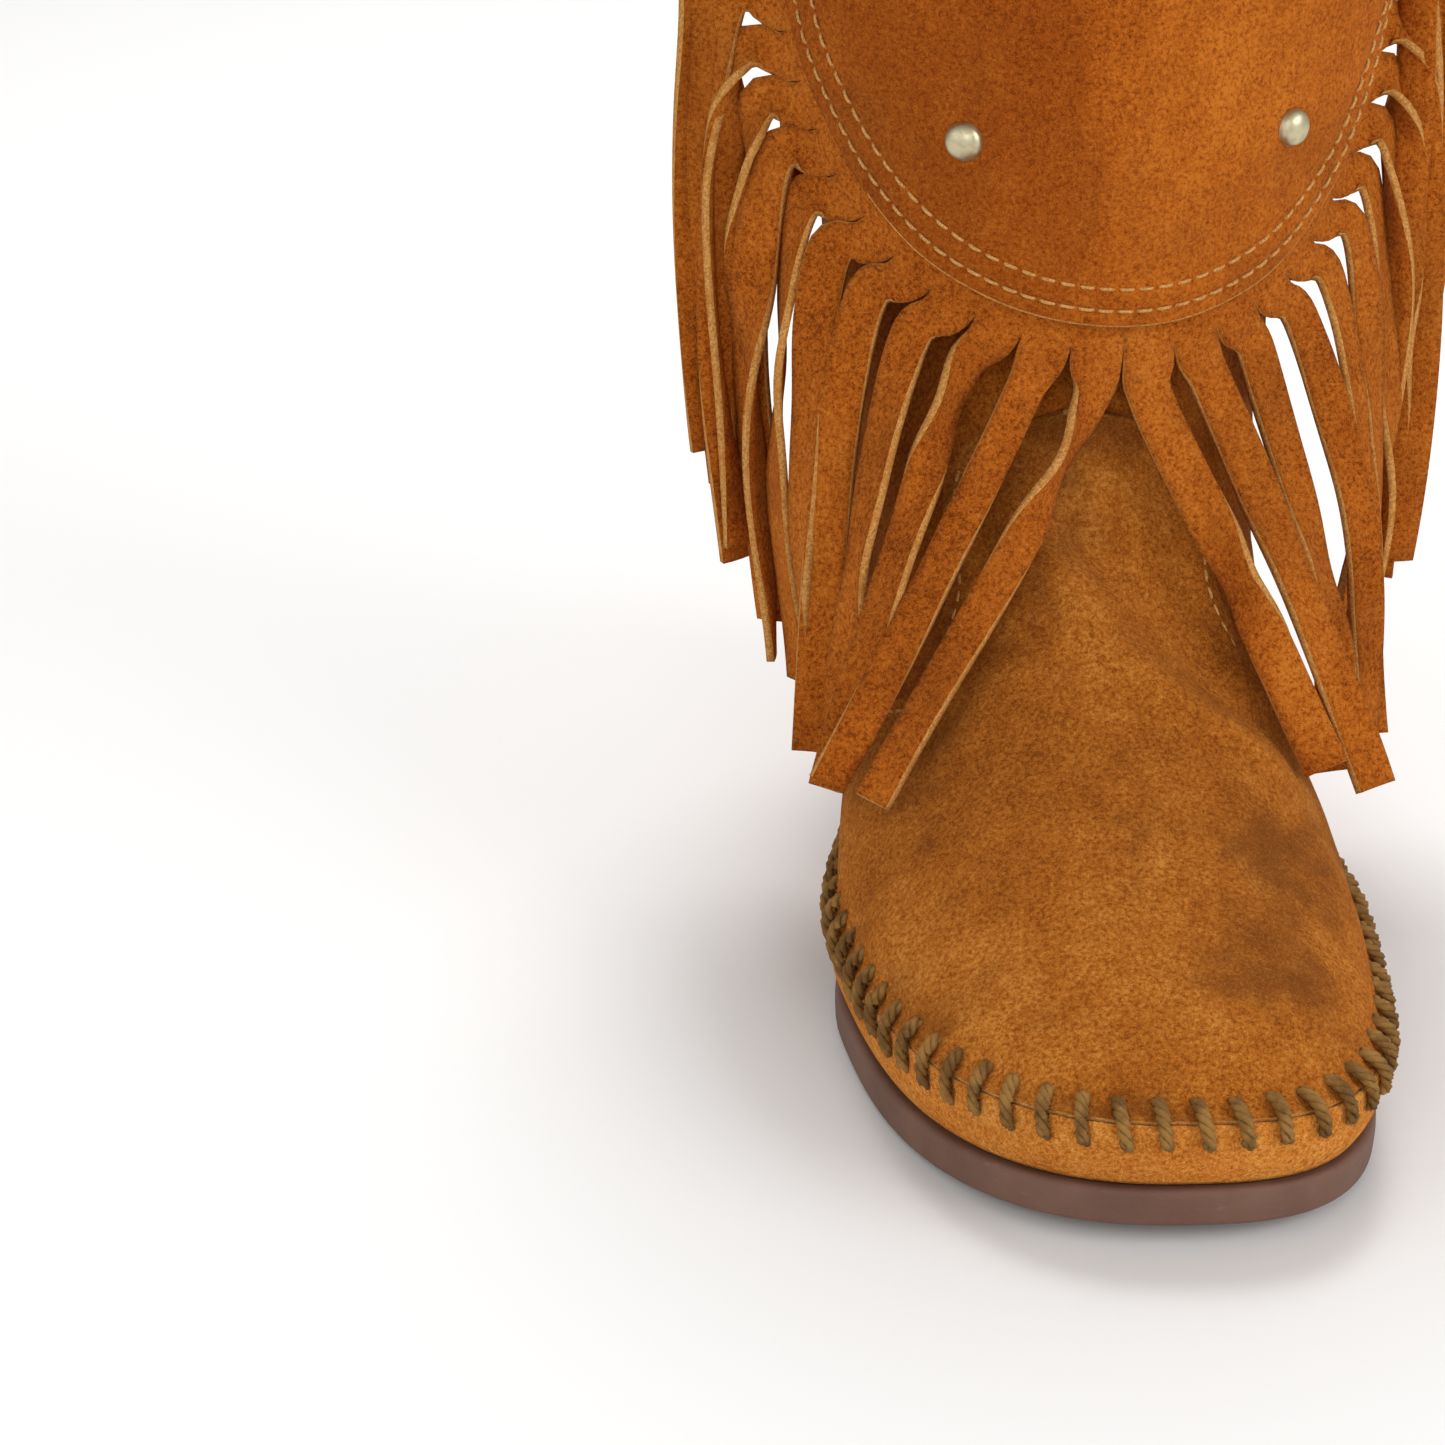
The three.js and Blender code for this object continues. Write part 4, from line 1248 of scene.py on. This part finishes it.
def makeFrontFringe():
    strips = {1: [], -1: []}
    number = 0
    for sign in (1, -1):
        marks = walkEdge(sign)
        for n, (low, high) in enumerate(zip(marks, marks[1:])):
            k = sign * (low + high) / 2
            path, side = frontPath(number, k)
            lengths = alongCurve(path)
            depth = fringeLook["bandDepth"]
            ahead = flapPoint(*flapEdge(k + 0.01, 0), depth)
            behind = flapPoint(*flapEdge(k - 0.01, 0), depth)
            across = (ahead - behind).normalized()
            hang = Vector((mix(1, 0.35, side), sign * mix(0, 0.94, side), 0)).normalized()
            if abs(k) > 0.85 and n % 3 != 1:
                hang = Vector((-0.85, 0.5 * sign, 0)).normalized()
            tone = (leftTwists if sign < 0 else rightTwists)[n % 8]
            louver = -sign * 0.8 * smooth((abs(k) - 0.25) / 0.35) * (0.75 + 0.5 * sway(number + 9))
            twist = twistOf(number, tone, louver)
            edges = (sign * low, sign * high) if sign > 0 else (sign * high, sign * low)
            layer = 1.5 * (n % 2) + 0.8 * sway(number + 5)

            def bandPoint(u, s, edges=edges, depth=depth):
                kHere = mix(edges[0], edges[1], u + 0.5)
                if abs(kHere) < 1e-6:
                    kHere = 1e-6 * (1 if edges[1] > 0 else -1)
                return flapPoint(*flapEdge(kHere, s), depth)

            def ribbonPoint(u, s, path=path, lengths=lengths, across=across, hang=hang, twist=twist,
                            n=number, layer=layer, total=lengths[-1]):
                s = s * (total - 3 - 3 * sway(n + 11)) / fringeLook["frontLength"]
                width = (fringeLook["stripWidth"] - fringeLook["slit"]) * (0.92 + 0.1 * sway(n * 5 + 3))
                curl = 0.9 + 0.7 * sway(n + 2)
                point = stripPoint(path, lengths, across, hang, u, s, width, twist, curl)
                share = s / total
                wave = 2.8 * sin(share * 6.5 + n * 1.7) * share
                outward = Vector((across.y, -across.x, 0))
                aside = across * (3.4 * sway(n * 3 + 1) * share * share)
                return point + outward * (wave + layer * smooth(share * 4)) + aside

            strips[sign].append((bandPoint, ribbonPoint, fringeLook["underlap"], fringeLook["border"],
                                 fringeLook["frontLength"]))
            number += 1
    for sign, word in ((1, "inner"), (-1, "outer")):
        name = word + "FrontFringe"
        node = word + "_front_fringe"
        piece = fringeSheet(name, strips[sign], None, [node])
        blendToFlap(piece)


def blendToFlap(piece):
    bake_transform(piece)


def makeRearFringe():
    top = flapLook["top"]
    band = 12.0
    start = asin(0.98) + 0.15
    half, depth, _ = shaftNear(top)
    end = pi - asin(9 / half)
    out = 0.3 + 0.9
    count = int((end - start) * (half + depth) / 2 / fringeLook["stripWidth"])
    for word, sign in (("inner", 1), ("outer", -1)):
        name = word + "RearFringe"
        node = word + "_rear_fringe"
        strips = []
        for i in range(count):
            low, high = (mix(start, end, (i + e) / count) for e in (0, 1))
            phi = sign * (low + high) / 2
            lift = 5 + 2 * sway(i + 7 * sign)
            length = fringeLook["rearLength"]

            def at(share, beyond, phi=phi, length=length):
                return shaftPoint(phi, top - band - length * share, out + beyond)

            path = curveThrough([
                shaftPoint(phi, top - band, out), at(0.25, 1.5), at(0.6, lift * 0.7), at(1, lift),
            ])
            lengths = alongCurve(path)
            across = Vector((cos(phi), sin(phi), 0))
            turn = (0.35 + 0.3 * ((i * 7) % 5) / 5, 0.8 * sway(i + 3), 0.4 * sway(i), 0.1)
            twist = twistOf(i, turn)

            def bandPoint(u, s, low=low, high=high, sign=sign):
                share = u + 0.5 if sign > 0 else 0.5 - u
                return shaftPoint(sign * mix(low, high, share), top - s, out)

            def ribbonPoint(u, s, path=path, lengths=lengths, across=across, twist=twist, i=i, phi=phi):
                s = s * lengths[-1] / fringeLook["rearLength"]
                width = fringeLook["stripWidth"] - fringeLook["slit"]
                point = stripPoint(path, lengths, across, across, u, s, width, twist, 0.8)
                outward = Vector((sin(phi), -cos(phi), 0))
                return point + outward * (1.0 * (i % 2) + 1.2 * sin(s / 17 + i) * s / 96)

            strips.append((bandPoint, ribbonPoint, 0.0, band, fringeLook["rearLength"]))
        fringeSheet(name, strips, "boot", [node])


flapPiece = makeFlap()
blendToFlap(flapPiece)
flapStitches = makeFlapStitches()
blendToFlap(flapStitches)
makeFrontFringe()
makeRearFringe()
print("flap and fringes made")


# ------ studs

studLook = {"radius": 3.75, "height": 2.4, "spacing": 57.0, "rise": 37.0}


def studFrame(side):
    across = side * studLook["spacing"] / 2
    foot, out = flapSurface(across, studLook["rise"], 0)
    rise = studLook["rise"]
    right = (flapPoint(across + 1, rise, 0) - flapPoint(across - 1, rise, 0)).normalized()
    up = out.cross(right)
    rows = Matrix((right, up, out)).transposed().to_4x4()
    return Matrix.Translation(foot * mm) @ rows


def spun(bm, profile, turned, steps=40):
    # profile: (radius, height) in mm, spun about the frame's own Z
    start = [bm.verts.new((radius * mm, 0, height * mm)) for radius, height in profile]
    edges = [bm.edges.new(pair) for pair in zip(start, start[1:])]
    bmesh.ops.spin(bm, geom=start + edges, cent=(0, 0, 0), axis=(0, 0, 1), angle=2 * pi, steps=steps,
                   use_merge=False, use_duplicate=False)
    verts = [v for v in bm.verts if not v.tag]
    bmesh.ops.remove_doubles(bm, verts=verts, dist=0.000002)
    verts = [v for v in bm.verts if not v.tag]
    bmesh.ops.transform(bm, matrix=turned, verts=verts)
    for vert in verts:
        vert.tag = True


def makeStuds():
    for side, word in ((1, "inner"), (-1, "outer")):
        turned = studFrame(side)
        face = 2.45 + flapWave(side * studLook["spacing"] / 2, studLook["rise"])
        bm = bmesh.new()
        dome = [(studLook["radius"] * cos(t), face + studLook["height"] * sin(t) ** 0.9)
                for t in (pi / 2 * n / 14 for n in range(15))]
        rim = [(0, face - 0.5), (3.2, face - 0.5), (3.75, face - 0.42), (3.9, face - 0.2), (3.86, face)]
        spun(bm, rim + dome[1:-1] + [(0, face + studLook["height"])], turned)
        spun(bm, [(0, -1.9), (0.9, -1.8), (0.95, 0), (0.95, 1.2), (0, 1.3)], turned, 16)
        bmesh.ops.recalc_face_normals(bm, faces=bm.faces)
        newPiece(word + "StudCap", meshFrom(bm, word + "StudCap"), ["stud"], "flap",
                 [word + "_stud_cap"])
        bm = bmesh.new()
        ring = [(1.3, -1.75), (3.3, -1.75), (3.6, -1.5), (3.55, -1.1), (1.3, -1.1), (1.3, -1.75)]
        spun(bm, ring, turned, 32)
        bmesh.ops.recalc_face_normals(bm, faces=bm.faces)
        newPiece(word + "StudWasher", meshFrom(bm, word + "StudWasher"), ["stud"], "flap",
                 [word + "_stud_washer"])


makeStuds()
print("studs made")


# ------ top binding, heel parts and their stitching

def makeBinding():
    half = shaftNear(248)[0]
    end = pi - asin(9 / half)
    bm = bmesh.new()
    inner = -2.7
    face = 0.3 + 1.3
    profile = [
        (face, -9), (face + 0.15, -8.6), (face + 0.2, -4), (face + 0.1, -0.6), (face - 0.5, 1.0),
        (0.2, 1.5), (-1.6, 1.5), (-3.3, 1.0),
        (inner - 1.2, -0.6), (inner - 1.3, -4), (inner - 1.2, -8.6), (inner - 1.1, -9),
    ]
    steps = 7

    def pointAt(i, j):
        phi = mix(-end, end, i)
        place = j * (len(profile) - 1)
        k = min(len(profile) - 2, int(place))
        out, rise = (mix(p, q, place - k) for p, q in zip(profile[k], profile[k + 1]))
        pull = 0.18 * cos(2 * pi * i * 90) * 2.718 ** (-((rise + 6.6) / 1.2) ** 2)
        wave = 0.25 * noise.noise(Vector((phi * 6, rise / 6, out)))
        level = 248 + min(rise, -0.3)
        point = shaftPoint(phi, level, out + (pull + wave) * (1 if out > -1 else -1))
        point.z = 248 + rise
        return point

    gridInto(bm, 360, (len(profile) - 1) * steps // 2, pointAt)
    bm.normal_update()

    def fromShaft(point):
        if point.z < 0.246:
            return Vector((point.x / mm, point.y / mm - 63, 0))
        return Vector((0, 0, 1))

    turnOutwards(bm, fromShaft)
    mesh = meshFrom(bm, "topBinding")
    piece = newPiece("topBinding", mesh, ["flap", "edge"], "boot", ["top_binding"])
    thicken(piece, 1.1)
    bm = bmesh.new()
    for out, way in ((face + 0.16, 1), (inner - 1.3, -1)):
        points = [shaftPoint(mix(-end + 0.02, end - 0.02, n / 300), 248 - 6.6, out) for n in range(301)]
        lengths = alongCurve(points)

        def placeAt(length, points=points, lengths=lengths, way=way):
            n, t = findOn(lengths, length)
            point = mix(points[n], points[n + 1], t)
            return point, Vector((point.x, point.y - 63, 0)).normalized() * way

        stitchRow(bm, placeAt, lengths[-1], 3.6)
    stitchPiece("bindingStitches", bm)


def makeHeelParts():
    def around(spread):
        return lambda i, v: mix(pi - spread, pi + spread, i)

    inside = -2.7
    panelPiece("heelCounter", 40, 24, lambda j: mix(0.85, 4.2, j), around(0.95), lambda i, v, a: inside,
               ["board", "board"], ["heel_counter"], 1.15)
    panelPiece("counterCover", 56, 30, lambda j: mix(0.85, 4.8, j), around(1.1),
               lambda i, v, a: inside - 1.45, ["lining", "edge"], ["counter_cover"], 0.95)
    top = ringAtBack(89)

    def stayAngle(i, v):
        spread = backAngle(v, 9)
        return mix(pi - spread, pi + spread, i)

    def stayOut(i, v, a):
        edge = min(i, 1 - i) * 18
        sink = 0.2 * 2.718 ** (-((edge - 2.4) / 0.6) ** 2)
        return 1.32 + 0.1 * noise.noise(Vector((i * 3, v * 3, 0))) - sink

    panelPiece("backStay", 36, 90, lambda j: mix(0.1, top, j), stayAngle, stayOut, ["wrap", "edge"],
               ["back_stay"], 1.2)
    bm = bmesh.new()
    for share in (2.4 / 18, 1 - 2.4 / 18):
        places = [(stayAngle(share, v), v) for v in (mix(0.15, top - 0.06, n / 120) for n in range(121))]
        points = [formPoint(a, v, 1.27) for a, v in places]
        normals = [formNormal(a, v) for a, v in places]
        lengths = alongCurve(points)

        def placeAt(length, points=points, lengths=lengths, normals=normals):
            n, t = findOn(lengths, length)
            return mix(points[n], points[n + 1], t), normals[n]

        stitchRow(bm, placeAt, lengths[-1], 3.6)
    stitchPiece("backStayStitches", bm)


def makeTongueStitches():
    bm = bmesh.new()
    for sign in (1, -1):
        places = []
        for n in range(121):
            v = mix(4.45, 6.9, n / 120)
            places.append((sign * (plugEdge(v) - 0.062), v))
        rows = [formPoint(a, v, 1.75) for a, v in places]
        normals = [formNormal(a, v) for a, v in places]
        lengths = alongCurve(rows)

        def placeAt(length, rows=rows, lengths=lengths, normals=normals):
            n, t = findOn(lengths, length)
            return mix(rows[n], rows[n + 1], t), normals[n]

        stitchRow(bm, placeAt, lengths[-1], 3.6)
    stitchPiece("tongueStitches", bm)


makeBinding()
makeHeelParts()
makeTongueStitches()
print("binding and heel made")


# ------ back zip

zipLook = {
    "bottom": 94.0,
    "top": 248 - 9 - 0.6 - 3.3,
    "gap": 1.0,
    "half": 2.5,
    "pitch": 2.2,
    "back": 117.2,
    "front": 120.2,
}


def boxInto(bm, x0, x1, y0, y1, z0, z1, bevel=0.0, steps=2):
    place = Matrix.Translation(Vector((x0 + x1, y0 + y1, z0 + z1)) * (mm / 2))
    size = Matrix.Diagonal(((x1 - x0) * mm, (y1 - y0) * mm, (z1 - z0) * mm, 1))
    made = bmesh.ops.create_cube(bm, size=1, matrix=place @ size)
    if bevel:
        edges = list({edge for vert in made["verts"] for edge in vert.link_edges})
        bmesh.ops.bevel(bm, geom=edges, offset=bevel * mm, segments=steps, affect="EDGES", profile=0.5,
                        material=-1)


def makeZip():
    rings = (ringAtBack(91), ringAtBack(238.4))
    near = zipLook["gap"] / 2 + zipLook["half"] + 0.3
    for name, sign, node in (("innerTape", 1, "zip_tape_inner"), ("outerTape", -1, "zip_tape_outer")):
        panelPiece(name, 14, 60, lambda j: mix(rings[0], rings[1], j),
                   lambda i, v, sign=sign: sign * (pi - backAngle(v, mix(near - 1.6, near + 13, i))),
                   lambda i, v, a: -2.75 - wornShape(basePoint(a, v), v), ["tape", "tape"],
                   [node], 0.75)
    y0, y1 = zipLook["back"], zipLook["front"]
    middle = (y0 + y1) / 2
    for name, sign, node in (("innerTeeth", 1, "zip_chain_inner"), ("outerTeeth", -1, "zip_chain_outer")):
        bm = bmesh.new()
        count = int((zipLook["top"] - zipLook["bottom"]) / zipLook["pitch"])
        for n in range(count):
            z = zipLook["bottom"] + (n + (0.25 if sign > 0 else 0.75)) * zipLook["pitch"]
            spans = sorted((sign * -0.75, sign * 3.0))
            boxInto(bm, spans[0], spans[1], middle - 1.25, middle + 1.25, z - 0.5, z + 0.5, 0.28, 1)
        heights = [mix(zipLook["bottom"], zipLook["top"], n / 24) for n in range(25)]
        cord = [Vector((sign * 2.5, middle, height)) for height in heights]
        tubeInto(bm, cord, 0.75, 8)
        bmesh.ops.recalc_face_normals(bm, faces=bm.faces)
        newPiece(name, meshFrom(bm, name, False), ["zipMetal"], "boot", [node])
    stops = (
        ("innerTopStop", 0.5, 3, "zip_top_stop_inner"),
        ("outerTopStop", -3, -0.5, "zip_top_stop_outer"),
    )
    for name, x0, x1, node in stops:
        bm = bmesh.new()
        boxInto(bm, x0, x1, y0, y1, zipLook["top"] + 0.3, zipLook["top"] + 3.3, 0.6)
        newPiece(name, meshFrom(bm, name), ["zipMetal"], "boot", [node])
    bm = bmesh.new()
    boxInto(bm, -3, 3, y0, y1, 91, 93.7, 0.7)
    newPiece("bottomStop", meshFrom(bm, "bottomStop"), ["zipMetal"], "boot",
             ["zip_bottom_stop"])
    makeSlider()
    makePull()


sliderLook = {"top": 234.6, "bottom": 223.6, "half": 4.5, "pinY": 124.8, "pinZ": 230.1, "pinRadius": 0.85}


def makeSlider():
    bm = bmesh.new()
    top, bottom, half = sliderLook["top"], sliderLook["bottom"], sliderLook["half"]
    boxInto(bm, -half, half, 120.5, 121.9, bottom, top, 0.6, 3)
    boxInto(bm, -half, half, 115.5, 116.9, bottom, top, 0.6, 3)
    for sign in (1, -1):
        spans = sorted((sign * (half - 0.85), sign * half))
        boxInto(bm, spans[0], spans[1], 119.4, 120.9, bottom + 0.7, top - 3.4, 0.3)
        boxInto(bm, spans[0], spans[1], 116.5, 118.0, bottom + 0.7, top - 3.4, 0.3)
        ears = sorted((sign * 2.3, sign * 3.1))
        boxInto(bm, ears[0], ears[1], 121.0, 126.0, 228.1, 232.1, 0.35, 3)
    boxInto(bm, -0.35, 0.35, 116.4, 121.1, bottom + 3, top - 0.6, 0.1)
    pin = [Vector((x, sliderLook["pinY"], sliderLook["pinZ"])) for x in (-3.3, -1.5, 0, 1.5, 3.3)]
    tubeInto(bm, pin, sliderLook["pinRadius"], 20)
    bmesh.ops.recalc_face_normals(bm, faces=bm.faces)
    newPiece("slider", meshFrom(bm, "slider", False), ["zipMetal"], "zip_slider",
             ["zip_slider"])


def makePull():
    # the tab hangs on the slider's pin: an eye, a neck and a long leaf; the leaf's slot is not cut
    y, z = sliderLook["pinY"], sliderLook["pinZ"]
    bm = bmesh.new()
    turn = Matrix.Translation(Vector((0, y, z)) * mm) @ Matrix.Rotation(pi / 2, 4, "Y")
    eye = [(1.25, -1.9), (2.0, -1.9), (2.3, -1.6), (2.3, 1.6), (2.0, 1.9), (1.25, 1.9), (1.25, -1.9)]
    spun(bm, eye, turn, 32)
    outline = [(1.3, -1.9), (1.5, -5.2), (2.4, -6.4), (3.3, -9), (3.5, -14), (3.5, -23)]
    outline += [(3.5 * cos(t), -23.5 - 3.5 * sin(t)) for t in (pi / 2 * n / 8 for n in range(9))]
    right = [(x, h) for x, h in outline if x > 0.01]
    points = right + [(0, -27)] + [(-x, h) for x, h in reversed(right)]
    verts = [bm.verts.new(Vector((x, y - 0.7, z + h)) * mm) for x, h in points]
    face = bm.faces.new(verts)
    made = bmesh.ops.extrude_face_region(bm, geom=[face])
    moved = [g for g in made["geom"] if isinstance(g, bmesh.types.BMVert)]
    bmesh.ops.translate(bm, verts=moved, vec=(0, 1.4 * mm, 0))
    flat = [f for f in bm.faces if len(f.verts) > 10]
    rims = list({edge for f in flat for edge in f.edges})
    bmesh.ops.bevel(bm, geom=rims, offset=0.3 * mm, segments=2, affect="EDGES", profile=0.5, material=-1)
    bmesh.ops.recalc_face_normals(bm, faces=bm.faces)
    newPiece("pullTab", meshFrom(bm, "pullTab", False), ["zipMetal"], "zip_pull", ["zip_pull"])


makeZip()
print("zip made")

# ------ studio

def makeStudio():
    bm = bmesh.new()
    bmesh.ops.create_grid(bm, x_segments=1, y_segments=1, size=6)
    mesh = meshFrom(bm, "floor")
    ground = bpy.data.objects.new("floor", mesh)
    bpy.context.scene.collection.objects.link(ground)
    paint = Paint("paleFloor")
    mesh.materials.append(paint.finish(Base_Color=(0.80, 0.80, 0.795), Roughness=0.6))
    ground.location.z = -0.0002
    lights = [
        ("overhead", (0.02, 0.78, 1.4), 0.9, 18),
        ("front", (-0.3, -1.7, 0.95), 1.5, 10),
        ("frontLeft", (-1.3, -0.7, 0.6), 1.4, 5),
        ("frontRight", (1.3, -0.8, 0.85), 1.2, 13),
    ]
    for name, place, size, power in lights:
        data = bpy.data.lights.new(name, "AREA")
        data.shape = "DISK"
        data.size = size
        data.energy = power
        lamp = bpy.data.objects.new(name, data)
        lamp.location = place
        aim = Vector((0, 0, 0.08)) - Vector(place)
        lamp.rotation_euler = aim.to_track_quat("-Z", "Y").to_euler()
        bpy.context.scene.collection.objects.link(lamp)
    world = bpy.data.worlds.new("studio")
    world.use_nodes = True
    world.node_tree.nodes["Background"].inputs["Color"].default_value = (1.0, 0.985, 0.965, 1)
    world.node_tree.nodes["Background"].inputs["Strength"].default_value = 0.42
    bpy.context.scene.world = world
    bpy.context.scene.view_settings.view_transform = "Standard"


makeStudio()
